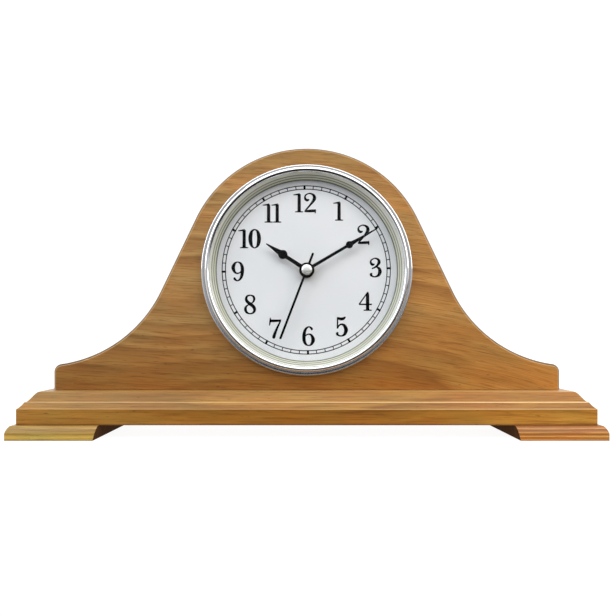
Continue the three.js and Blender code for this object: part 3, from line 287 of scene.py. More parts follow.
def arris(piece, width):
    """Rounds the sharp edges of a piece by a small bevel, width in metres."""
    bevel = piece.modifiers.new("arris", "BEVEL")
    bevel.width = width
    bevel.segments = 3
    bevel.limit_method = "ANGLE"
    bevel.angle_limit = ARRIS_LIMIT
    bevel.harden_normals = True


def on_dial(x, y, h):
    """Places on the dial as points of the frame."""
    x, y, h = np.broadcast_arrays(x, y, h)
    return np.stack([x, FACE_Y - h, AXIS_Z + y], axis=-1)


def revolved(profile, segments, close=True):
    """A profile of (radius, height) rows turned about the dial's axis: x = r cos a, y = r sin a."""
    radius, height = np.asarray(profile, float).T[..., None]
    angle = np.arange(segments) * TURN / segments
    return skin(on_dial(radius * np.cos(angle), radius * np.sin(angle), height), close_rows=close)


def arc(centre, radius, start, end, steps):
    """Points of a circle's arc from one angle to another: centre + radius (cos a, sin a)."""
    angle = np.linspace(start, end, steps + 1)
    return np.stack([centre[0] + radius * np.cos(angle), centre[1] + radius * np.sin(angle)], axis=-1)


def bezier(start, pull, end, steps):
    """A quadratic curve: start (1-t)^2 + pull 2t(1-t) + end t^2."""
    t = np.linspace(0, 1, steps + 1)[:, None]
    return np.array(start) * (1 - t) ** 2 + np.array(pull) * 2 * t * (1 - t) + np.array(end) * t ** 2


# Materials


class Value:
    """What a node puts out. Arithmetic on it adds nodes, on numbers and on places or colours alike."""

    def __init__(self, tree, socket):
        self.tree = tree
        self.socket = socket

    def work(self, operation, other=None, output=0):
        kind = "ShaderNodeMath" if self.socket.type == "VALUE" else "ShaderNodeVectorMath"
        inputs = {0: self} if other is None else {0: self, 1: other}
        return self.tree.add(kind, inputs, output, operation=operation)

    def __add__(self, other):
        return self.work("ADD", other)

    def __sub__(self, other):
        return self.work("SUBTRACT", other)

    def __mul__(self, other):
        return self.work("MULTIPLY", other)

    def __truediv__(self, other):
        return self.work("DIVIDE", other)

    def __abs__(self):
        return self.work("ABSOLUTE")

    def length(self):
        return self.work("LENGTH", output=1)

    def parts(self):
        node = self.tree.node("ShaderNodeSeparateXYZ", {"Vector": self})
        return [Value(self.tree, socket) for socket in node.outputs]

    def noise(self, scale, detail=2.0, roughness=0.5, output="Fac"):
        inputs = {"Vector": self, "Scale": scale, "Detail": detail, "Roughness": roughness}
        return self.tree.add("ShaderNodeTexNoise", inputs, output)

    def spread(self, low, high, new_low=0.0, new_high=1.0):
        """The value mapped from one range to another and held inside it."""
        inputs = {"Value": self, "From Min": low, "From Max": high, "To Min": new_low, "To Max": new_high}
        return self.tree.add("ShaderNodeMapRange", inputs)

    def bump(self, strength, depth):
        inputs = {"Height": self, "Strength": strength, "Distance": depth * MM}
        return self.tree.add("ShaderNodeBump", inputs)


def mix(factor, first, second):
    """The first colour where the factor is 0, and the second where it is 1."""
    return factor.tree.add("ShaderNodeMix", {0: factor, 6: first, 7: second}, 2, data_type="RGBA")


class Tree:
    """The nodes of a material or world, added and linked by short calls."""

    def __init__(self, owner):
        owner.use_nodes = True
        self.owner = owner
        self.nodes = owner.node_tree.nodes
        self.links = owner.node_tree.links
        self.nodes.clear()

    def node(self, kind, inputs, **settings):
        """A node whose inputs are values of other nodes or constants. Colours may be hex digits."""
        node = self.nodes.new(kind)
        for key, value in settings.items():
            setattr(node, key, value)
        for key, value in inputs.items():
            socket = node.inputs[key]
            if isinstance(value, Value):
                self.links.new(value.socket, socket)
            elif socket.type == "RGBA":
                plain = paint(value) if isinstance(value, str) else value
                socket.default_value = (*plain, 1.0)
            else:
                socket.default_value = value
        return node

    def add(self, kind, inputs, output=0, **settings):
        return Value(self, self.node(kind, inputs, **settings).outputs[output])


class Finish(Tree):
    """A new material."""

    def __init__(self, name):
        super().__init__(bpy.data.materials.new(name))

    def place(self, scale=1.0, shift=(0, 0, 0)):
        """Object coordinates, scaled and then shifted."""
        inputs = {"Vector": self.add("ShaderNodeTexCoord", {}, "Object"), "Location": shift,
                  "Scale": np.broadcast_to(scale, 3)}
        return self.add("ShaderNodeMapping", inputs)

    def principled(self, base, roughness, **inputs):
        settings = {key.replace("_", " "): value for key, value in inputs.items()}
        settings.update({"Base Color": base, "Roughness": roughness})
        return self.close(self.add("ShaderNodeBsdfPrincipled", settings))

    def close(self, shader):
        self.node("ShaderNodeOutputMaterial", {"Surface": shader})
        return self.owner


def wood(name, shift, tilt, left, right, fades, rings=None, crests=(), bow=0.0, edge=0.0):
    """Lacquered wood with its grain along X.

    The grain falls to the right by tilt degrees, and right of the middle by bow x^2 more. A growth ring
    is the distance from a far heart's line, bent by a slow noise, over the width of a ring; what is left
    past its whole part starts pale, grows to the dark late wood and drops. rings are the width of a
    ring, how steadily it shows and how deep. Fibres, streaks, pores and flecks are noises drawn out
    along X. left and right are colours that tint the piece towards its ends: partly the wood's own
    colour and partly painted light, brighter and warmer at the right as if lit from there. Each row of
    fades is a pair of heights and the colours that tint it at the left, middle and right past the
    second one: painted shade and painted light by height. Where the surface looks along the grain it
    is dark end grain. Painted highlights in a pale colour run along the crests, given as pairs of
    height and strength and stronger to the right, and where the rounded edge starts to turn from the
    front; further round, painted shade darkens the rounded edge by edge.
    """
    look = bpy.context.scene.clock_wood
    width, steady, depth = rings or (look.ring_spacing / MM, 0.0, look.ring_depth)
    finish = Finish(name)
    here = finish.place(1 / MM)
    along, _, height = here.parts()
    slope = math.tan(math.radians(tilt))
    past = along.work("MAXIMUM", 0.0)
    fall = {"Y": along * (slope / 2), "Z": along * slope + past * past * bow}
    run = here + finish.add("ShaderNodeCombineXYZ", fall) + shift

    def grain(draw, wide, detail=1.0, roughness=0.5, output="Fac"):
        """A noise with spots of that width in millimetres, drawn out along the grain."""
        return (run * (1 / draw / wide, 1 / wide, 1 / wide)).noise(1.0, detail, roughness, output)

    def wobble(draw, wide, by):
        return (grain(draw, wide, 2.0, 0.45, "Color") - (0.5, 0.5, 0.5)) * (0, by, by)

    across = run * (0, 1, 1) + wobble(4, 60, 60 - 56 * steady) + wobble(12, 6, 3 - 2 * steady)
    age = ((across - (0, 120, -80)).length() / width).work("FRACT")
    late = age.spread(0.35, 0.92) * age.spread(1.0, 0.92)
    early = age.spread(0.0, 0.1) * age.spread(0.35, 0.15)
    strong = grain(5, 22).spread(0.4, 0.62, steady * depth, depth)

    draw = look.fibre_length / MM
    fibre = grain(draw, 1.3, 4.0, 0.7)
    streak = grain(draw * 1.1, 0.8, 2.0).spread(0.54, 0.66)
    pore = grain(draw * 0.5, 0.6, 2.0).spread(0.62, 0.72)
    fleck = grain(5, 1.3).spread(0.74, 0.8)
    broad = grain(9, 16, 3.0)
    shade = mix(fibre.spread(0.3, 0.7), look.tan, look.pale)
    for strength, second in ((broad.spread(0.38, 0.68, 0.0, 0.28), look.brown),
                             (late * strong, look.brown),
                             (early * (strong * 0.3), look.rubbed),
                             (streak * look.streak_depth, look.brown),
                             (pore * 0.4, look.pore),
                             (fleck * 0.7, look.pore)):
        shade = mix(strength, shade, second)

    tint = mix(grain(3, 15).spread(0.35, 0.65), (1.05, 0.97, 0.86), (0.96, 1.02, 1.04))
    wander = (broad - 0.5) * 160.0
    # Left and right tints: partly the wood's own colour, partly painted light that brightens the right side.
    tint = tint * mix((along + wander).spread(-170.0, 170.0), left, right)
    # Painted shade and painted light by height, tinted differently at the left, middle and right.
    for start, stop, at_left, at_middle, at_right in fades:
        level = height + wander * (0.004 * abs(start - stop))
        ends = mix(along.spread(-180.0, -60.0), at_left, at_middle)
        ends = mix(along.spread(60.0, 180.0), ends, at_right)
        tint = mix(level.spread(start, stop), tint, tint * ends)
    shade = shade * tint
    # Painted highlights: a pale line along each crest, stronger towards the right where the key light falls.
    for crest, strength in crests:
        rightwards = along.spread(-160.0, 140.0, 0.35 * strength, strength)
        shade = mix(abs(height - crest).spread(0.45, 0.1) * rightwards, shade, look.rubbed)
    end, front, _ = abs(finish.add("ShaderNodeTexCoord", {}, "Normal")).parts()
    # Painted highlight where the rounded edge starts to turn from the front, and painted shade further round
    # it.
    if edge:
        pale = front.spread(0.998, 0.98) * front.spread(0.9, 0.96)
        dark = front.spread(0.95, 0.85) * front.spread(0.02, 0.2)
        shade = mix(pale * 0.45, shade, look.rubbed)
        shade = mix(dark * edge, shade, look.pore)
    shade = mix(end.spread(0.55, 0.97, 0.0, 0.55), shade, look.end_grain)
    rough = fibre.spread(0.2, 0.8, look.roughness - 0.05, look.roughness + 0.1)
    return finish.principled(shade, rough, Normal=(fibre * 0.5 - pore).bump(0.3, 0.1),
                             Coat_Weight=look.lacquer, Coat_Roughness=0.2, Specular_IOR_Level=0.3)


def raw_wood(name):
    """Unlacquered end grain of a foot's leaning inner end: dull and finely pitted, and dark as painted
    shade under the base.
    """
    look = bpy.context.scene.clock_wood
    finish = Finish(name)
    pit = finish.place(1 / MM).noise(2.2, 3.0, 0.6)
    band = finish.place((0.1 / MM, 1 / MM, 0.6 / MM)).noise(0.5)
    # Dark colours that paint the shade under the base onto the unlacquered end grain.
    shade = mix(band.spread(0.35, 0.65, 0.0, 0.8), look.raw, look.end_grain)
    shade = mix(pit.spread(0.5, 0.75, 0.0, 0.6), shade, look.raw)
    return finish.principled(shade, 0.9, Normal=pit.bump(0.4, 0.1), Specular_IOR_Level=0.0)


def chrome(name, roughness):
    """Polished plating with faint hairlines and a slightly uneven polish."""
    look = bpy.context.scene.clock_metal
    finish = Finish(name)
    hairline = finish.place(900).noise(1.0)
    cloud = finish.place().noise(120)
    tint = mix(cloud.spread(0.3, 0.8, 0.0, 0.3), look.chrome, (0.72, 0.73, 0.74))
    rough = cloud.spread(0.3, 0.7, roughness * 0.7, roughness * 1.5)
    return finish.principled(tint, rough, Metallic=1.0, Normal=hairline.bump(0.04, 0.01))


def spun(name, roughness):
    """Pale satin plating of the sight ring, greyed towards its foot by painted shade, with a painted
    shadow of the gap as a dark edge there.

    Broad lines stand at given radii round the dial's axis, and finer ones are a noise of the radius.
    """
    look = bpy.context.scene.clock_metal
    finish = Finish(name)
    radius = finish.place((1 / MM, 0, 1 / MM), (0, 0, -AXIS_Z)).length()
    fine = finish.add("ShaderNodeCombineXYZ", {"X": radius}).noise(2.5, 2.0, 0.6)
    # Painted shade: greyer towards the foot, in the recess under the bezel.
    tint = mix(radius.spread(SIGHT_FOOT + 3.6, SIGHT_FOOT), look.sight, look.sight_shade)
    tint = mix(fine.spread(0.5, 0.7, 0.0, 0.25), tint, "6d7163")
    for line in SIGHT_LINES:
        tint = mix(abs(radius - line).spread(0.42, 0.15, 0.0, 0.7), tint, "50544a")
    # Painted shadow of the gap between the ring's foot and the dial.
    tint = mix(radius.spread(SIGHT_FOOT + 0.75, SIGHT_FOOT + 0.4, 0.0, 0.9), tint, "2c302b")
    rough = fine.spread(0.3, 0.7, roughness * 0.85, roughness * 1.2)
    return finish.principled(tint, rough, Metallic=0.35, Normal=fine.bump(0.1, 0.05))


def plated(name, shade, dark, roughness, metallic=1.0):
    """Plated or rolled metal: cloudy tone, small stains and a fine bump."""
    finish = Finish(name)
    cloud = finish.place().noise(260, 4.0, 0.6)
    speck = finish.place().noise(2600, 2.0, 0.6)
    tint = mix(cloud.spread(0.35, 0.7), shade, dark)
    rough = cloud.spread(0.3, 0.7, roughness * 0.8, roughness * 1.3)
    return finish.principled(tint, rough, Metallic=metallic, Normal=speck.bump(0.08, 0.03))


def moulded(name, shade, light, roughness, grain=0.35, depth=0.04):
    """Moulded plastic: a fine stipple, a slightly uneven tone and gloss."""
    finish = Finish(name)
    stipple = finish.place().noise(1 / (grain * MM), 3.0, 0.55)
    tint = mix(finish.place().noise(90).spread(0.3, 0.75), shade, light)
    rough = stipple.spread(0.3, 0.7, roughness * 0.85, roughness * 1.15)
    return finish.principled(tint, rough, Normal=stipple.bump(0.3, depth))


def windings(name, wire):
    """Enamelled wire wound round a bar along Z: a sine of the height, one turn per wire."""
    finish = Finish(name)
    place = finish.place(1 / MM)
    turns = (place.parts()[2] * (TURN / wire)).work("SINE")
    tint = mix(turns.spread(-1.0, 1.0), "7a3a18", "d07c46")
    tint = mix(place.noise(0.8, 3.0).spread(0.4, 0.8, 0.0, 0.4), tint, "5a2a12")
    return finish.principled(tint, 0.28, Metallic=0.85, Normal=turns.bump(0.6, 0.1))


def circuit(name):
    """Green solder mask over tracks: a dim grid of lines, darker between them."""
    finish = Finish(name)
    place = finish.place(1 / MM)
    bent = place + place.noise(0.12, 1.0, output="Color") * (5, 0, 5)
    wave = finish.add("ShaderNodeTexWave", {"Vector": bent, "Scale": 0.35, "Distortion": 0.6}, "Fac",
                      wave_type="BANDS", bands_direction="X")
    track = wave.spread(0.62, 0.7)
    tint = mix(track, "1f5a35", "3c8a55")
    tint = mix(place.noise(0.4).spread(0.3, 0.8, 0.0, 0.35), tint, "143f26")
    return finish.principled(tint, 0.35, Normal=track.bump(0.3, 0.05))


def sleeve(name):
    """The printed sleeve of a dry cell: dark, with one plain metal-coloured band at its plus end."""
    finish = Finish(name)
    place = finish.place(1 / MM)
    along = place.parts()[0]
    cloud = place.noise(0.5, 3.0)
    tint = mix(along.spread(13.8, 14.0), "24272d", "b87a3c")
    tint = mix(along.spread(23.6, 23.7), tint, "c4c5c6")
    tint = mix(cloud.spread(0.4, 0.9, 0.0, 0.25), tint, "15161a")
    rough = cloud.spread(0.3, 0.7, 0.22, 0.34)
    return finish.principled(tint, rough, Metallic=0.55, Normal=cloud.bump(0.05, 0.05))


def clear_glass(name):
    """Clear glass: what lies behind shows through, and a clean reflection grows towards the edge.

    Nothing bends in it, so its inner faces take the inverse index, which gives both faces one gloss.
    """
    finish = Finish(name)
    see = finish.add("ShaderNodeBsdfTransparent", {"Color": (0.992, 0.995, 0.995)})
    gloss = finish.add("ShaderNodeBsdfGlossy", {"Roughness": 0.015})
    back = finish.add("ShaderNodeNewGeometry", {}, "Backfacing")
    fresnel = finish.add("ShaderNodeFresnel", {"IOR": back.spread(0.0, 1.0, GLASS_INDEX, 1 / GLASS_INDEX)})
    return finish.close(finish.add("ShaderNodeMixShader", {0: fresnel, 1: see, 2: gloss}))


def dial_paint(name):
    """Satin paint on the dial: a cool white with a very fine spray texture."""
    look = bpy.context.scene.clock_dial
    finish = Finish(name)
    spray = finish.place().noise(3500, 2.0, 0.6)
    tint = mix(finish.place().noise(25, 3.0).spread(0.3, 0.75), look.ground, look.ground_shade)
    return finish.principled(tint, spray.spread(0.3, 0.7, 0.38, 0.48), Normal=spray.bump(0.08, 0.02))


def black_paint(name, roughness):
    """Semi-gloss black: fine spray texture and a slightly worn tone."""
    finish = Finish(name)
    spray = finish.place().noise(2200, 3.0, 0.6)
    tint = mix(spray.spread(0.3, 0.8, 0.0, 0.5), "040405", "101012")
    rough = spray.spread(0.3, 0.7, roughness * 0.8, roughness * 1.2)
    return finish.principled(tint, rough, Normal=spray.bump(0.1, 0.02), Specular_IOR_Level=0.06)


def floor_paper(name):
    """Matt white paper of the floor, with a barely visible tooth."""
    look = bpy.context.scene.clock_stage
    finish = Finish(name)
    tooth = finish.place().noise(700, 3.0, 0.6)
    tint = mix(tooth.spread(0.3, 0.7, 0.0, 0.06), look.floor, (0.1, 0.1, 0.1))
    return finish.principled(tint, 0.75, Normal=tooth.bump(0.03, 0.05), Specular_IOR_Level=0.2,
                             Emission_Color=(1.0, 1.0, 1.0), Emission_Strength=look.glow)


def assign(material, *nodes):
    """Gives nodes of the frame a material of their own."""
    for node in nodes:
        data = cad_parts[node].data
        data.materials.clear()
        data.materials.append(material)


# Case


def case_outline():
    """Outline of the case from the right foot over the arch to the left foot.

    Returns the points, their outward normals, and the angle of the dial's hole that each looks to. The
    right half is a straight end, a corner's arc, the hollow's arc, a straight flank and half the arch.
    """
    half_width, bottom = CASE_HIGH[0], CASE_LOW[2]
    arch = np.array([0.0, CASE_HIGH[2] - ARCH_RADIUS])
    slope = np.array([math.sin(SHOULDER_SLOPE), math.cos(SHOULDER_SLOPE)])
    out = np.array([math.sin(FLANK_ANGLE), math.cos(FLANK_ANGLE)])
    along = np.array([out[1], -out[0]])
    shoulder = np.array([half_width - CORNER_RADIUS * (1 - slope[0]), bottom + SHOULDER_HEIGHT])
    corner = shoulder - slope * CORNER_RADIUS
    flank_top = arch + out * ARCH_RADIUS
    gap = shoulder - flank_top
    across = out - slope
    hollow_radius = (gap[0] * along[1] - gap[1] * along[0]) / (across[0] * along[1] - across[1] * along[0])
    flank_foot = flank_top + along * ((gap - across * hollow_radius) @ along)
    hollow = flank_foot + out * hollow_radius
    down = math.pi * 1.5

    end = np.linspace([half_width, bottom], [half_width, corner[1]], 7)
    rounded = arc(corner, CORNER_RADIUS, 0, math.pi / 2 - SHOULDER_SLOPE, 12)[1:]
    dip = arc(hollow, hollow_radius, down - SHOULDER_SLOPE, down - FLANK_ANGLE, 90)[1:]
    flank = np.linspace(flank_foot, flank_top, 17)[1:]
    top = arc(arch, ARCH_RADIUS, math.pi / 2 - FLANK_ANGLE, math.pi / 2, 90)[1:]
    lines = [end, rounded, dip, flank, top]
    points = np.concatenate(lines)
    normals = np.concatenate([np.tile([1.0, 0.0], (len(end), 1)), (rounded - corner) / CORNER_RADIUS,
                              (hollow - dip) / hollow_radius, np.tile(out, (len(flank), 1)),
                              (top - arch) / ARCH_RADIUS])

    # Angles of the hole, spread over the outline's length between its foot, corner, hollow and top.
    length = np.concatenate([[0], np.cumsum(np.linalg.norm(np.diff(points, axis=0), axis=1))])
    ends = np.cumsum([len(line) for line in lines]) - 1
    angles = np.interp(length, length[[0, ends[1], ends[2], ends[4]]], HOLE_ANGLES)

    mirror = np.array([-1.0, 1.0])
    points = np.concatenate([points, points[-2::-1] * mirror])
    normals = np.concatenate([normals, normals[-2::-1] * mirror])
    return points, normals, np.concatenate([angles, math.pi - angles[-2::-1]])


def case_skin():
    """The case as one closed grid. Its columns follow the outline and return along the bottom, and its
    rows go from the rebate over the face, the sides and the back to the bore and the ledge.
    """
    points, normals, angles = case_outline()
    count = 61
    across = np.linspace(-1, 1, count + 2)[1:-1]
    bottom = np.stack([across * CASE_HIGH[0], np.full(count, CASE_LOW[2])], axis=-1)
    points = np.concatenate([points, bottom])
    normals = np.concatenate([normals, np.stack([across, np.zeros(count)], axis=-1)])
    below = np.linspace(math.pi - HOLE_ANGLES[0], TURN + HOLE_ANGLES[0], count + 2)[1:-1]
    angles = np.concatenate([angles, below])
    ring = np.stack([np.cos(angles), np.sin(angles)], axis=-1)
    centre = np.array([0.0, AXIS_Z])
    front, back = CASE_LOW[1], CASE_HIGH[1]
    ledge = front + LEDGE_DEPTH
    mouth = MOUTH_CHAMFER
    quarter = np.linspace(0, math.pi / 2, 11)
    insets = EDGE_ROUND * (1 - np.sin(quarter))
    depths = EDGE_ROUND * (1 - np.cos(quarter))

    # Rows of the hole, given by radius and y, before and after the rows of the rim, by inset and y.
    mouth_rows = [(REBATE_RADIUS, front + mouth), (REBATE_RADIUS + mouth, front),
                  (REBATE_RADIUS + 2 * mouth, front)]
    rim_rows = [(EDGE_ROUND + mouth, front), *zip(insets, front + depths),
                (0, front + EDGE_ROUND + mouth), (0, back - EDGE_ROUND - mouth),
                *zip(insets[::-1], back - depths[::-1]), (EDGE_ROUND + mouth, back)]
    seat_rows = [(BORE_RADIUS + 2 * mouth, back), (BORE_RADIUS + mouth, back), (BORE_RADIUS, back - mouth),
                 (BORE_RADIUS, back - 2 * mouth), (BORE_RADIUS, ledge + 2 * mouth),
                 (BORE_RADIUS, ledge + mouth), (BORE_RADIUS + mouth, ledge),
                 (BORE_RADIUS + 2 * mouth, ledge), (REBATE_RADIUS - mouth, ledge),
                 (REBATE_RADIUS, ledge), (REBATE_RADIUS, ledge - mouth), (REBATE_RADIUS, front + 2 * mouth)]
    rows = [(centre + ring * radius, y) for radius, y in mouth_rows]
    rows += [(points - normals * inset, y) for inset, y in rim_rows]
    rows += [(centre + ring * radius, y) for radius, y in seat_rows]
    return skin(np.stack([np.insert(place, 1, y, axis=1) for place, y in rows]), close_rows=True)


# Base and feet


def board_skin(levels):
    """A moulded board: rectangles stacked in height, each (x0, x1, y0, y1, z), closed by flat ends.

    Its columns walk round a rectangle from the front left, as shares of its width and of its depth.
    """
    x0, x1, y0, y1, z = np.asarray(levels, float).T[..., None]
    across = np.linspace(0, 1, 81)[:-1]
    deep = np.linspace(0, 1, 17)[:-1]
    x = np.concatenate([across, np.ones(16), 1 - across, np.zeros(16)])
    y = np.concatenate([np.zeros(80), deep, np.ones(80), 1 - deep])
    return capped(np.stack(np.broadcast_arrays(x0 + (x1 - x0) * x, y0 + (y1 - y0) * y, z), axis=-1))


def moulding():
    """Insets and heights of the moulding over the fascia: a hollow splay, then half a cosine wave."""
    t = np.linspace(0, 1, 13)
    hollow = SPLAY_HOLLOW * 4 * t * (1 - t) / math.sqrt(2)
    splay = np.stack([SPLAY_WIDTH * t + hollow, SPLAY_HEIGHT * t - hollow], axis=-1)
    rise = BASE_HIGH[2] - BASE_LOW[2] - FASCIA_HEIGHT - SPLAY_HEIGHT
    t = np.linspace(0, 1, 33)[1:]
    wave = rise * (1 - np.cos(math.pi * t)) / 2
    ogee = np.stack([SPLAY_WIDTH + OGEE_WIDTH * t, SPLAY_HEIGHT + wave], axis=-1)
    return np.concatenate([splay, ogee])


def base_skin():
    """The base: the moulding's profile carried round the front and both ends, where it is narrower."""
    inset, rise = moulding().T
    inset = np.concatenate([[0.0], inset])
    z = np.concatenate([[BASE_LOW[2]], BASE_LOW[2] + FASCIA_HEIGHT + rise])
    end = inset * END_SHARE
    back = np.full(len(z), BASE_HIGH[1])
    return board_skin(np.column_stack([BASE_LOW[0] + end, BASE_HIGH[0] - end, BASE_LOW[1] + inset, back, z]))


def foot_skin(side):
    """A foot: its front and outer edge is an arc that starts with a crease, and its inner end leans."""
    half_turn = math.atan2(*FOOT_ROUND) - FOOT_CREASE
    radius = math.hypot(*FOOT_ROUND) / 2 / math.sin(half_turn)
    crease = FOOT_HIGH[2] - FOOT_ROUND[1]
    centre = (radius * math.cos(FOOT_CREASE), crease - radius * math.sin(FOOT_CREASE))
    start = math.pi - FOOT_CREASE
    inset, z = arc(centre, radius, start, start - 2 * half_turn, 14).T
    inset = np.concatenate([[0.0], inset])
    z = np.concatenate([[FOOT_LOW[2]], z])
    inner = FOOT_LOW[0] + FOOT_UNDERCUT * (1 - (z - FOOT_LOW[2]) / (FOOT_HIGH[2] - FOOT_LOW[2]))
    ends = np.sort(np.stack([side * inner, side * (FOOT_HIGH[0] - inset)], axis=-1), axis=1)
    back = np.full(len(z), FOOT_HIGH[1])
    return board_skin(np.column_stack([ends, FOOT_LOW[1] + inset, back, z]))


# Dial group


def turned(node):
    """Outer radius of a turned node, and its lower and upper height in front of the case's face."""
    low, high = reach(node)
    return high[0], FACE_Y - high[1], FACE_Y - low[1]


def bezel_profile():
    """The bezel's closed profile: a rounded rim, a hollow, a round bead, and a skirt in the rebate."""
    outer, foot, top = turned("bezel_ring")
    rim = arc((outer - RIM_RADIUS, GAP + RIM_RADIUS), RIM_RADIUS, 0, math.pi, 16)
    bead = arc((outer - BEAD_INSET, top - BEAD_RADIUS), BEAD_RADIUS, 0, math.pi, 24)
    hollow = bezier(rim[-1], (bead[0][0], GAP + 2 * RIM_RADIUS), bead[0], 12)
    skirt = REBATE_RADIUS - GAP
    lip = bead[-1][1] - BEAD_LIP
    return np.concatenate([
        [(skirt, GAP), (outer - RIM_CHAMFER, GAP), (outer, GAP + RIM_CHAMFER)],
        rim, hollow[1:-1], bead,
        [(bead[-1][0], lip), (skirt - BEZEL_WALL, lip), (skirt - BEZEL_WALL, foot), (skirt, foot)],
    ])


def sight_profile():
    """The sight ring: a thin cone that opens to the front, with two fine steps, and a flat flange."""
    outer, foot, top = turned("sight_ring")
    t = np.array([0.0, 0.3, 0.32, 0.62, 0.64, 0.97])
    radius = SIGHT_FOOT + (SIGHT_FLARE - SIGHT_FOOT) * t + SIGHT_STEP * np.array([0, 0, 1, 1, 2, 2])
    flange = [(SIGHT_FLARE + FLANGE_START, top), (outer, top), (outer, top - SHEET),
              (SIGHT_FLARE + SHEET / 2, top - SHEET), (SIGHT_FOOT + SHEET, foot)]
    return np.concatenate([np.stack([radius, foot + (top - foot) * t], axis=-1), flange])


def glass_profile():
    """A watch glass: two arcs of spheres one thickness apart, from the axis to the rim and back."""
    radius, rim_back, apex = turned("dial_glass")
    rise = apex - rim_back - GLASS_THICKNESS
    sphere = (radius ** 2 + rise ** 2) / (2 * rise)
    half = math.asin(radius / sphere)
    back = arc((0, rim_back + rise - sphere), sphere, math.pi / 2, math.pi / 2 - half, 28)
    edge = [(radius, rim_back + GLASS_EDGE), (radius, rim_back + GLASS_THICKNESS - GLASS_EDGE)]
    front = back[::-1] + np.array([0, GLASS_THICKNESS])
    back[0, 0] = front[-1, 0] = 0.0
    back[-1, 0] = front[0, 0] = radius - GLASS_EDGE
    return np.concatenate([back, edge, front])


def ribbon(control, scale, at, low, high):
    """A pen stroke as a closed, flat solid.

    The rows of control are (x, y, half width) in thousandths of a numeral's height. A Catmull-Rom
    curve runs through them, and its edges lie half a width and the ink's spread to either side of it.
    """
    control = np.array(control) / 1000
    ends = np.concatenate([[2 * control[0] - control[1]], control, [2 * control[-1] - control[-2]]])
    t = np.linspace(0, 1, STROKE_STEPS, endpoint=False)
    powers = np.stack([np.ones_like(t), t, t ** 2, t ** 3], axis=-1)
    weights = 0.5 * np.array([[0, 2, 0, 0], [-1, 0, 1, 0], [2, -5, 4, -1], [-1, 3, -3, 1]])
    spans = np.stack([ends[:-3], ends[1:-2], ends[2:-1], ends[3:]], axis=1)
    line = np.einsum("ti,sij->stj", powers @ weights, spans).reshape(-1, 3)
    line = np.concatenate([line, control[-1:]])
    ahead = np.gradient(line[:, :2], axis=0)
    ahead /= np.linalg.norm(ahead, axis=1, keepdims=True)
    half = np.maximum(line[:, 2:], 0.0) + INK_SPREAD / scale
    aside = np.stack([-ahead[:, 1], ahead[:, 0]], axis=-1) * half
    left = (line[:, :2] + aside) * scale + at
    right = (line[:, :2] - aside) * scale + at
    loop = np.stack([left, right, right, left], axis=1)
    return capped(on_dial(loop[..., 0], loop[..., 1], np.array([high, high, low, low])))


def serif(middle):
    """The foot of a one or a four, under the middle of its stem."""
    rows = [(-210, 30, 16), (-100, 36, 24), (0, 45, 34), (100, 36, 24), (210, 30, 16)]
    return [(x + middle, y, half) for x, y, half in rows]


def mirrored(width, rows):
    """A stroke that goes down at the left and comes back up at the right, to where it started."""
    return rows + [(width - x, y, half) for x, y, half in rows[-2:0:-1]] + rows[:1]


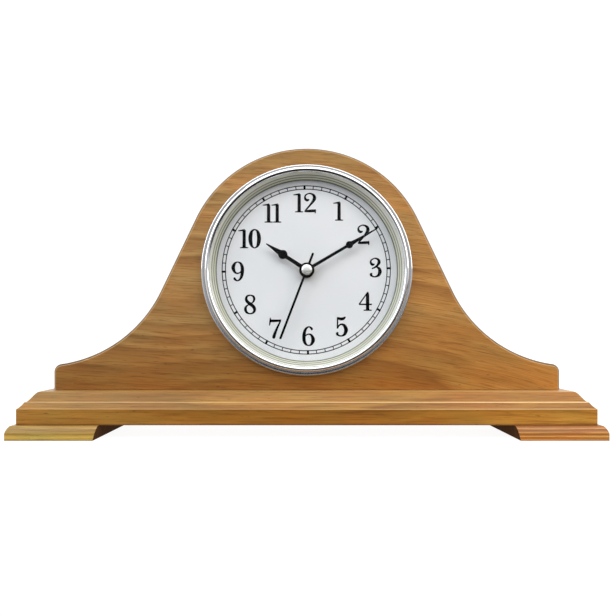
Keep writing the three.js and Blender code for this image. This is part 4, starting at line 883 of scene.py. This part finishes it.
# Width of each figure, and its strokes as rows of (x, y, half width), in thousandths of its height.
FIGURES = {
    "0": (633, [mirrored(633, [(316, 980, 20), (189, 900, 46), (124, 750, 79), (92, 500, 92),
                               (124, 250, 79), (189, 100, 46), (316, 20, 20)])]),
    "1": (420, [[(220, 30, 76), (220, 500, 74), (220, 940, 72)],
                [(-80, 905, 14), (30, 915, 22), (140, 930, 34), (260, 955, 34)],
                serif(220)]),
    "2": (645, [[(285, 690, 10), (250, 650, 42), (165, 635, 58), (82, 720, 48), (100, 880, 28),
                 (295, 980, 24), (500, 905, 52), (565, 755, 77), (500, 585, 62), (338, 380, 38),
                 (130, 135, 30), (55, 40, 20)],
                [(50, 40, 16), (150, 60, 46), (340, 75, 62), (520, 85, 60), (610, 100, 45)],
                [(610, 170, 12), (605, 90, 30), (605, 0, 24), (600, -50, 12)]]),
    "3": (620, [[(260, 690, 10), (220, 660, 40), (145, 650, 56), (72, 730, 46), (85, 875, 28),
                 (285, 975, 24), (450, 900, 52), (490, 765, 70), (410, 620, 48), (260, 500, 32),
                 (120, 440, 20)],
                [(270, 505, 18), (380, 520, 30), (500, 430, 66), (535, 270, 85), (460, 100, 58),
                 (290, 20, 26), (140, 50, 36), (75, 125, 58), (100, 180, 42), (140, 200, 10)]]),
    "4": (675, [[(455, 960, 20), (235, 650, 22), (15, 335, 24)],
                [(0, 335, 26), (340, 335, 26), (675, 335, 26)],
                [(452, 30, 76), (450, 500, 76), (450, 820, 72), (460, 920, 42), (475, 980, 10)],
                serif(452)]),
    "5": (610, [[(65, 975, 20), (140, 930, 52), (250, 895, 66), (370, 910, 62), (450, 960, 44),
                 (505, 1010, 14)],
                [(90, 970, 30), (87, 680, 26), (88, 400, 30)],
                [(88, 420, 16), (160, 550, 28), (280, 620, 34), (420, 570, 60), (510, 420, 84),
                 (525, 290, 86), (450, 105, 60), (290, 20, 26), (140, 50, 36), (70, 125, 58),
                 (95, 180, 42), (135, 200, 10)]]),
    "6": (650, [[(540, 835, 14), (500, 860, 50), (450, 925, 44), (340, 980, 24), (200, 895, 46),
                 (115, 710, 68), (85, 460, 79), (105, 240, 72), (190, 80, 46), (330, 20, 20),
                 (470, 85, 50), (560, 300, 85), (480, 530, 52), (350, 600, 28), (210, 560, 22),
                 (140, 460, 14)]]),
    "7": (620, [[(60, 1090, 12), (66, 980, 30), (52, 860, 32), (20, 680, 12)],
                [(50, 920, 45), (120, 925, 58), (300, 928, 56), (620, 940, 46)],
                [(600, 940, 20), (510, 750, 34), (385, 480, 50), (290, 240, 66), (250, 100, 72),
                 (240, 40, 56), (235, 0, 10)]]),
    "8": (630, [[(310, 980, 22), (155, 925, 40), (100, 790, 57), (145, 660, 66), (300, 525, 74),
                 (460, 400, 74), (535, 250, 67), (480, 90, 45), (310, 20, 24), (130, 90, 48),
                 (62, 250, 62), (120, 410, 36), (270, 505, 22), (440, 610, 30), (515, 770, 52),
                 (460, 920, 42), (310, 980, 22)]]),
}
FIGURES["9"] = (650, [[(650 - x, 1000 - y, half) for x, y, half in rows] for rows in FIGURES["6"][1]])


def numeral_skins(text, centre, size, low, high):
    """The strokes of a numeral, set side by side and centred on a place of the dial."""
    figures = [FIGURES[name] for name in text]
    widths = np.array([width for width, _ in figures]) / 1000 + NUMERAL_GAP
    starts = np.concatenate([[0], np.cumsum(widths)[:-1]]) - (widths.sum() - NUMERAL_GAP) / 2
    skins = []
    for (_, strokes), start in zip(figures, starts):
        at = np.array(centre) + size * np.array([start, -0.5])
        skins += [ribbon(rows, size, at, low, high) for rows in strokes]
    return skins


def ticks(angles, inner, outer, width, low, high):
    """Short bars that point to the dial's axis, as a stack of closed boxes."""
    along = np.stack([np.sin(angles), np.cos(angles)], axis=-1)[:, None, None]
    aside = np.stack([np.cos(angles), -np.sin(angles)], axis=-1)[:, None, None]
    radius = np.array([inner, inner, outer, outer])[:, None, None]
    spread = np.array([[0, 0, 0, 0], [-1, 1, 1, -1], [-1, 1, 1, -1], [0, 0, 0, 0]])[..., None]
    places = along * radius + aside * spread * width / 2
    middle = [(low + high) / 2] * 4
    edges = [high, high, low, low]
    return skin(on_dial(places[..., 0], places[..., 1], np.array([middle, edges, edges, middle])))


# Hands


def blade(half, along, low, high, angle):
    """A hand's blade, which points to an angle clockwise from twelve: a six-sided section with
    bevelled upper edges at each station along the hand.
    """
    bevel = np.minimum(HAND_BEVEL, half * BEVEL_SHARE)
    across = np.stack([-half, -half, bevel - half, half - bevel, half, half], axis=-1)
    low, high = np.full(len(half), low), np.full(len(half), high)
    heights = np.stack([low, high - bevel, high, high, high - bevel, low], axis=-1)
    along = along[:, None]
    x = along * math.sin(angle) + across * math.cos(angle)
    y = along * math.cos(angle) - across * math.sin(angle)
    return capped(on_dial(x, y, heights))


def boss(form, low, high):
    """The round boss of a hand: a flat ring with bevelled upper edges."""
    bore, radius, bevel = form["bore"], form["boss"], HAND_BEVEL
    return revolved([(bore, low), (radius, low), (radius, high - bevel), (radius - bevel, high),
                     (bore + bevel, high), (bore, high - bevel)], 96)


def bulb_hand(form, low, high, angle):
    """A straight bar, a round bulb, and a point whose sides are hollow."""
    bulb, bulb_at, bar = form["bulb"], form["bulb_at"], form["bar"]
    neck = math.asin(bar * BULB_NECK / bulb)
    root = (bar / 2, form["boss"] * BULB_BAR_START)
    bar_rows = np.linspace(root, (bar * BULB_NECK, bulb_at - bulb * math.cos(neck)), 8)
    bulb_rows = arc((0, bulb_at), bulb, neck - math.pi / 2, BULB_SHOULDER, 30)
    pull = (bar * BULB_NECK, bulb_at + bulb * BULB_TAPER)
    point = bezier(bulb_rows[-1], pull, (HAND_TIP, form["length"]), 26)
    half, along = np.concatenate([bar_rows[:-1], bulb_rows, point[1:]]).T
    return [blade(half, along, low, high, angle), boss(form, low, high)]


def fine_hand(form, low, high, angle):
    """A fine straight hand with rounded ends and a plain tail behind its boss."""
    half = form["bar"] / 2
    end_half, end = arc((0, 0), half, 0, FINE_END, 6).T
    pieces = [boss(form, low, high)]
    for side, length in ((1, form["length"]), (-1, form["tail"])):
        along = side * np.concatenate([[form["boss"] * FINE_BAR_START], length - half + end])
        pieces.append(blade(np.concatenate([[half], end_half]), along, low, high, angle))
    return pieces


def cap_profile():
    """The cap of the hands: a flat foot with a small chamfer, a straight edge and a quarter ellipse."""
    radius, low, high = turned("hand_cap")
    t = np.linspace(0, math.pi / 2, 20)
    dome = np.stack([radius * np.cos(t), low + CAP_EDGE + (high - low - CAP_EDGE) * np.sin(t)], axis=-1)
    dome[-1, 0] = 0.0
    return np.concatenate([[(0.0, low), (radius - CAP_CHAMFER, low), (radius, low + CAP_CHAMFER)], dome])


# Settings


class ClockWood(bpy.types.PropertyGroup):
    """Wood of the case, base and feet."""

    pale: colour("Pale wood", "Colour of the palest fibres", "b18552")
    tan: colour("Tan wood", "Middle colour of the wood", "946c3c")
    brown: colour("Brown wood", "Colour of the dark part of a growth ring", "70481f")
    pore: colour("Pore", "Colour of the pores", "4a301b")
    end_grain: colour("End grain", "Colour of the wood where it is cut across", "4d3116")
    # Unlacquered end grain, darkened as painted shade under the base.
    raw: colour("Raw wood", "Colour of the feet's unlacquered inner ends", "3d2c22")
    # Pale colour of the early wood, also used for painted highlights along the crests and the rounded edge.
    rubbed: colour("Rubbed crest", "Colour along the crests of the moulding", "dcb67c")
    ring_depth: share("Ring depth", "How strongly the growth rings show", 0.55)
    streak_depth: share("Streak depth", "How strongly the dark streaks show", 0.55)
    roughness: share("Roughness", "Roughness of the lacquered surface", 0.4)
    lacquer: share("Lacquer", "Weight of the clear coat", 0.15)
    ring_spacing: distance("Ring spacing", "Width of a growth ring", 11.0)
    fibre_length: distance("Fibre draw", "How far fibres are drawn out, as the length of a 1 mm fibre", 36.0)
    arris: distance("Arris", "Rounding of the sharp edges of base and feet", 0.4)


class ClockDial(bpy.types.PropertyGroup):
    """Dial and its print."""

    ground: colour("Dial", "Colour of the dial", "ebecef")
    ground_shade: colour("Dial shade", "Second, slightly darker colour of the dial", "e3e5e9")
    numeral_height: distance("Numeral height", "Height of the figures", 14.9)


class ClockMetal(bpy.types.PropertyGroup):
    """Plated and turned metal."""

    chrome: colour("Chrome", "Colour of the polished plating", "ebecee")
    sight: colour("Sight ring", "Colour of the satin ring inside the bezel", "fbfbef")
    # Colour of the painted shade at the ring's foot.
    sight_shade: colour("Sight ring foot", "Colour of the satin ring at its foot", "dfe2c8")
    zinc: colour("Zinc", "Colour of the screws", "b9babd")
    brass: colour("Brass", "Colour of nut and washer", "c9a24e")


class ClockStage(bpy.types.PropertyGroup):
    """Floor, light and camera."""

    floor: colour("Floor", "Colour that the lit floor adds to its own glow", "646464")
    glow: amount("Floor glow", "Light that the floor gives off by itself", 0.94)
    sky: colour("Sky", "Colour of the light from above", "f4f6f8")
    horizon: colour("Horizon", "Colour of the light at the clock's level", "bcbcbc")
    ground: colour("Ground", "Colour of the dark surroundings below the clock", "2a211a")
    boards: colour("Side boards", "Colour of the white boards at both sides", "ffffff")
    sky_strength: amount("Surroundings strength", "Strength of the light from all round", 0.9)
    key: amount("Key light", "Warm light from the right", 7.9, unit="POWER")
    fill: amount("Fill light", "Cool light from the left", 6.4, unit="POWER")
    front: amount("Front light", "Soft light from over the camera", 7.8, unit="POWER")
    top: amount("Top light", "Large light overhead", 10.0, unit="POWER")
    lens: amount("Lens", "Focal length of the camera", 31.3, unit="CAMERA", min=1.0)


# Operators


class BuildCase(bpy.types.Operator):
    """Build the wooden case with its rounded edges and the seat of the dial"""

    bl_idname = "clock.build_case"
    bl_label = "Build case"

    def execute(self, context):
        # Painted shade: darker towards the bottom, less so at the right, and towards the top of the arch.
        # The right end's tint is partly painted light.
        low, low_right, high = (0.71, 0.55, 0.27), (0.94, 0.88, 0.76), (0.8, 0.8, 0.72)
        fades = ((95.0, 30.0, low, low, low_right), (190.0, 212.0, high, high, high))
        material = wood("case_wood", (0, 0, 0), 3.0, (1.0, 1.04, 1.0), (1.26, 1.14, 0.78), fades,
                        bow=0.0006, edge=0.85)
        add_piece("case_wood_body", [case_skin()], material, "case", ["case_body"])
        return {"FINISHED"}


class BuildBase(bpy.types.Operator):
    """Build the moulded base and the two feet"""

    bl_idname = "clock.build_base"
    bl_label = "Build base and feet"

    def base(self, width):
        step = BASE_LOW[2] + FASCIA_HEIGHT
        # Painted light and shade on the fascia, darker in the middle and brighter to the right, and a
        # painted shadow along its bottom edge.
        under = (0.5, 0.42, 0.4)
        fades = ((step + 1, step - 2, (1.22, 1.14, 0.95), (0.92, 0.8, 0.5), (1.4, 1.5, 1.5)),
                 (BASE_LOW[2] + 1.4, BASE_LOW[2] + 0.3, under, under, under))
        # Painted highlights along the crests of the moulding and along its top edge.
        crests = ((step, 0.6), (step + SPLAY_HEIGHT, 1.0), (BASE_HIGH[2], 0.35))
        material = wood("base_wood", (400, 40, 90), 0.5, (0.78, 0.76, 0.42), (0.88, 0.69, 0.27), fades,
                        (11.0, 0.0, 0.45), crests)
        piece = add_piece("base_moulded", [base_skin()], material, "case", ["base_board"])
        arris(piece, width)

    def foot(self, name, side, width, raw, shift, tilt, tint, low, contact_shadow, rings):
        """A foot, paler in its lower part by painted light, darker where it stands by a painted contact
        shadow, and unlacquered where its inner end leans, with painted shade there.
        """
        # Painted light pales the lower part, and a painted contact shadow darkens the foot where it stands.
        fades = ((5.0, 3.6, low, low, low), (0.9, 0.2, contact_shadow, contact_shadow, contact_shadow))
        material = wood(f"{name}_foot_wood", shift, tilt, tint, tint, fades, rings)
        piece = add_piece(f"foot_{name}_moulded", [foot_skin(side)], material, "case",
                          [f"foot_{name}"])
        mesh = piece.data
        mesh.materials.append(raw)
        normals = np.empty(len(mesh.polygons) * 3)
        mesh.polygons.foreach_get("normal", normals)
        faces_in = normals.reshape(-1, 3)[:, 0] * side < -INWARD
        mesh.polygons.foreach_set("material_index", faces_in.astype(int))
        arris(piece, width)

    def execute(self, context):
        width = context.scene.clock_wood.arris
        self.base(width)
        raw = raw_wood("raw_end_grain")
        # Each foot's own tint, then painted light that pales its lower part and a painted contact shadow
        # where it stands.
        self.foot("left", -1, width, raw, (900, 150, 30), 0.5, (0.85, 1.0, 0.62), (1.3, 1.38, 1.15),
                  (0.6, 0.6, 0.64), (3.4, 0.8, 0.4))
        self.foot("right", 1, width, raw, (-700, 150, 55), -0.3, (0.98, 0.75, 0.4), (1.16, 1.16, 1.05),
                  (0.6, 0.5, 0.5), (2.6, 1.0, 1.0))
        return {"FINISHED"}


class BuildBezel(bpy.types.Operator):
    """Build the chromed bezel, the satin sight ring and the domed glass"""

    bl_idname = "clock.build_bezel"
    bl_label = "Build bezel, sight ring and glass"

    def execute(self, context):
        add_piece("bezel_turned", [revolved(bezel_profile(), 360)], chrome("bezel_chrome", 0.07),
                  "case", ["bezel_ring"])
        add_piece("sight_ring_turned", [revolved(sight_profile(), 360)], spun("sight_metal", 0.25),
                  "case", ["sight_ring"])
        add_piece("glass_domed", [revolved(glass_profile(), 240, close=False)], clear_glass("clear_glass"),
                  "case", ["dial_glass"])
        return {"FINISHED"}


class BuildDial(bpy.types.Operator):
    """Paint the dial and print its minute track and numerals"""

    bl_idname = "clock.build_dial"
    bl_label = "Build dial"

    def execute(self, context):
        assign(dial_paint("dial_white"), "dial_plate")
        size = context.scene.clock_dial.numeral_height / MM
        top = turned("dial_plate")[2]
        low, high = top - INK_SINK, top + INK_HEIGHT
        ink = black_paint("dial_ink", 0.6)
        hours = np.arange(12) * TURN / 12 + DIAL_TURN
        minutes = np.arange(60) * TURN / 60 + DIAL_TURN
        half = TRACK_LINE / 2
        track = [revolved([(r - half, low), (r + half, low), (r + half, high), (r - half, high)], 240)
                 for r in (TRACK_INNER, TRACK_OUTER)]
        track += [ticks(minutes, TRACK_INNER, TRACK_OUTER, TICK_WIDTH, low, high),
                  ticks(hours, TRACK_INNER - BOLD_TICK_REACH, TRACK_OUTER + BOLD_TICK_REACH,
                        BOLD_TICK_WIDTH, low, high)]
        track = [(points + np.array(PRINT_SHIFT), faces) for points, faces in track]
        add_piece("minute_track", track, ink, "case")
        skins = []
        for hour, place in enumerate(NUMERAL_PLACES, start=1):
            skins += numeral_skins(str(hour), place, size, low, high)
        add_piece("numerals", skins, ink, "case")
        return {"FINISHED"}


class BuildHands(bpy.types.Operator):
    """Build the hour, minute and second hands and their bright cap"""

    bl_idname = "clock.build_hands"
    bl_label = "Build hands"

    def execute(self, context):
        black = black_paint("hand_black", 0.4)
        for name, body, shape, form, angle in (("hour", "hours", bulb_hand, HOUR_HAND, HOUR_ANGLE),
                                               ("minute", "minutes", bulb_hand, MINUTE_HAND, MINUTE_ANGLE),
                                               ("second", "seconds", fine_hand, SECOND_HAND, SECOND_ANGLE)):
            _, low, high = turned(f"{name}_hand")
            add_piece(f"{name}_hand_cut", shape(form, low, high, angle), black, body,
                      [f"{name}_hand"])
        satin = plated("cap_chrome", "f6f6f4", "dededc", 0.24, 0.5)
        add_piece("hand_cap_turned", [revolved(cap_profile(), 96, close=False)], satin,
                  "seconds", ["hand_cap"])
        return {"FINISHED"}


class FinishMovement(bpy.types.Operator):
    """Give the movement, its cell and all screws their finishes"""

    bl_idname = "clock.finish_movement"
    bl_label = "Finish movement and screws"

    def execute(self, context):
        look = context.scene.clock_metal
        screws = [f"{kind}_screw_{i}" for kind in ("case", "foot", "dial") for i in range(1, 5)]
        assign(plated("screw_steel", look.zinc, "94969a", 0.34), *screws)
        assign(moulded("housing_plastic", "1d1e20", "26272a", 0.5), "movement_housing", "movement_cover")
        assign(moulded("gear_plastic", "e9e4d4", "dcd6c2", 0.42, 0.6, 0.02),
               "middle_plate", "intermediate_wheel", "seconds_wheel", "third_wheel", "centre_wheel",
               "minute_pipe", "motion_wheel", "hour_wheel", "setting_knob")
        assign(moulded("washer_rubber", "161616", "202020", 0.85, 0.25, 0.06), "rubber_washer")
        assign(plated("nut_brass", look.brass, "a47f34", 0.3), "brass_washer", "hex_nut")
        assign(plated("magnet_steel", "8c8d91", "6c6d71", 0.38),
               "rotor", "stator", "coil_core", "quartz_crystal")
        assign(windings("coil_copper", 0.35), "coil")
        assign(circuit("board_green"), "circuit_board")
        assign(plated("contact_steel", "c2c0bb", "a5a39d", 0.25),
               "battery_contact_minus", "battery_contact_plus")
        assign(sleeve("cell_sleeve"), "battery_cell")
        return {"FINISHED"}


class BuildStage(bpy.types.Operator):
    """Build the floor, the lights and the camera"""

    bl_idname = "clock.build_stage"
    bl_label = "Build stage"

    def floor(self):
        """A sheet of paper that lies flat and curves up behind: a straight line, an arc and a line."""
        rise = arc((FLOOR_BEND_AT, FLOOR_BEND), FLOOR_BEND, -math.pi / 2, 0, 24)
        line = np.concatenate([[(FLOOR_FRONT, 0.0)], rise, [(FLOOR_BEND_AT + FLOOR_BEND, FLOOR_TOP)]])
        y, z = line.T[..., None]
        x = np.linspace(-FLOOR_HALF_WIDTH, FLOOR_HALF_WIDTH, 9)
        grid = np.stack(np.broadcast_arrays(x, y, z), axis=-1)
        mesh = make_mesh("floor", [skin(grid, close_columns=False)], floor_paper("floor_paper"))
        piece = add_object("floor", mesh)

    def light(self, name, place, aim, size, watts, tint=(1.0, 1.0, 1.0)):
        data = bpy.data.lights.new(name, "AREA")
        data.shape = "RECTANGLE"
        data.size, data.size_y = size
        data.energy = watts
        data.color = tint
        lamp = add_object(name, data)
        lamp.location = place
        x, y, z = np.array(aim) - np.array(place)
        lamp.rotation_euler = (math.atan2(math.hypot(x, y), -z), 0, math.atan2(y, x) - math.pi / 2)

    def surroundings(self, look):
        """Light from all round: bright overhead and to both sides, dim in front and dark below.

        The white boards lean, so they reach lower at the left. The camera sees white paper all round,
        and only light and reflections see the rest.
        """
        tree = Tree(bpy.data.worlds.new("surroundings"))
        across, _, height = tree.add("ShaderNodeTexCoord", {}, "Generated").parts()
        sky = tree.node("ShaderNodeValToRGB", {"Fac": height.spread(-1.0, 1.0)})
        rising = [(0.0, look.ground), (GROUND_END, look.ground), (HORIZON, look.horizon),
                  (SKY_START, look.sky)]
        for place, _ in rising[2:]:
            sky.color_ramp.elements.new(place)
        for element, (place, shade) in zip(sky.color_ramp.elements, rising):
            element.position = place
            element.color = (*shade, 1.0)
        board = abs(across).spread(*BOARD_SIDE) * (across * BOARD_LEAN + height).spread(*BOARD_FOOT)
        shine = mix(board, Value(tree, sky.outputs["Color"]), look.boards)
        seen = tree.add("ShaderNodeLightPath", {}, "Is Camera Ray")
        light = tree.add("ShaderNodeBackground", {"Color": shine, "Strength": look.sky_strength})
        paper = tree.add("ShaderNodeBackground", {"Color": (1.0, 1.0, 1.0), "Strength": PAPER_STRENGTH})
        shown = tree.add("ShaderNodeMixShader", {0: seen, 1: light, 2: paper})
        tree.node("ShaderNodeOutputWorld", {"Surface": shown})
        bpy.context.scene.world = tree.owner

    def camera(self, look):
        data = bpy.data.cameras.new("camera")
        data.lens = look.lens
        data.sensor_width = SENSOR_WIDTH
        data.shift_x, data.shift_y = CAMERA_SHIFT
        camera = add_object("camera", data)
        camera.location = CAMERA_PLACE
        camera.rotation_euler = (math.pi / 2, 0, 0)
        bpy.context.scene.camera = camera

    def execute(self, context):
        look = context.scene.clock_stage
        self.floor()
        self.light("key", (0.95, -0.75, 0.75), AIM, (0.7, 1.0), look.key, (1.0, 0.94, 0.86))
        self.light("fill", (-0.95, -0.75, 0.75), AIM, (0.7, 1.0), look.fill, (0.9, 0.95, 1.0))
        self.light("front", (0.0, -1.0, 1.2), AIM, (1.4, 0.7), look.front)
        self.light("top", (0.0, 0.3, 1.5), (0.0, 0.2, 0.0), (1.8, 1.4), look.top)
        self.surroundings(look)
        self.camera(look)
        context.scene.view_settings.view_transform = "Standard"
        return {"FINISHED"}


class ClockPanel(bpy.types.Panel):
    """Settings of the clock and a button for each of its groups"""

    bl_idname = "VIEW3D_PT_clock"
    bl_label = "Mantel clock"
    bl_space_type = "VIEW_3D"
    bl_region_type = "UI"
    bl_category = "Clock"

    def draw(self, context):
        for name in GROUPS:
            group = getattr(context.scene, name)
            box = self.layout.box()
            for key in group.__annotations__:
                box.prop(group, key)
        for operator in OPERATORS:
            self.layout.operator(operator.bl_idname)


OPERATORS = (BuildCase, BuildBase, BuildBezel, BuildDial, BuildHands, FinishMovement, BuildStage)
GROUPS = {"clock_wood": ClockWood, "clock_dial": ClockDial, "clock_metal": ClockMetal,
          "clock_stage": ClockStage}
CLASSES = (*GROUPS.values(), *OPERATORS, ClockPanel)


def register():
    for item in CLASSES:
        bpy.utils.register_class(item)
    for name, group in GROUPS.items():
        setattr(bpy.types.Scene, name, PointerProperty(type=group))


def unregister():
    for name in GROUPS:
        delattr(bpy.types.Scene, name)
    for item in reversed(CLASSES):
        bpy.utils.unregister_class(item)


def main():
    register()
    bpy.ops.clock.build_case()
    bpy.ops.clock.build_base()
    bpy.ops.clock.build_bezel()
    bpy.ops.clock.build_dial()
    bpy.ops.clock.build_hands()
    bpy.ops.clock.finish_movement()
    bpy.ops.clock.build_stage()


if __name__ == "__main__":
    main()
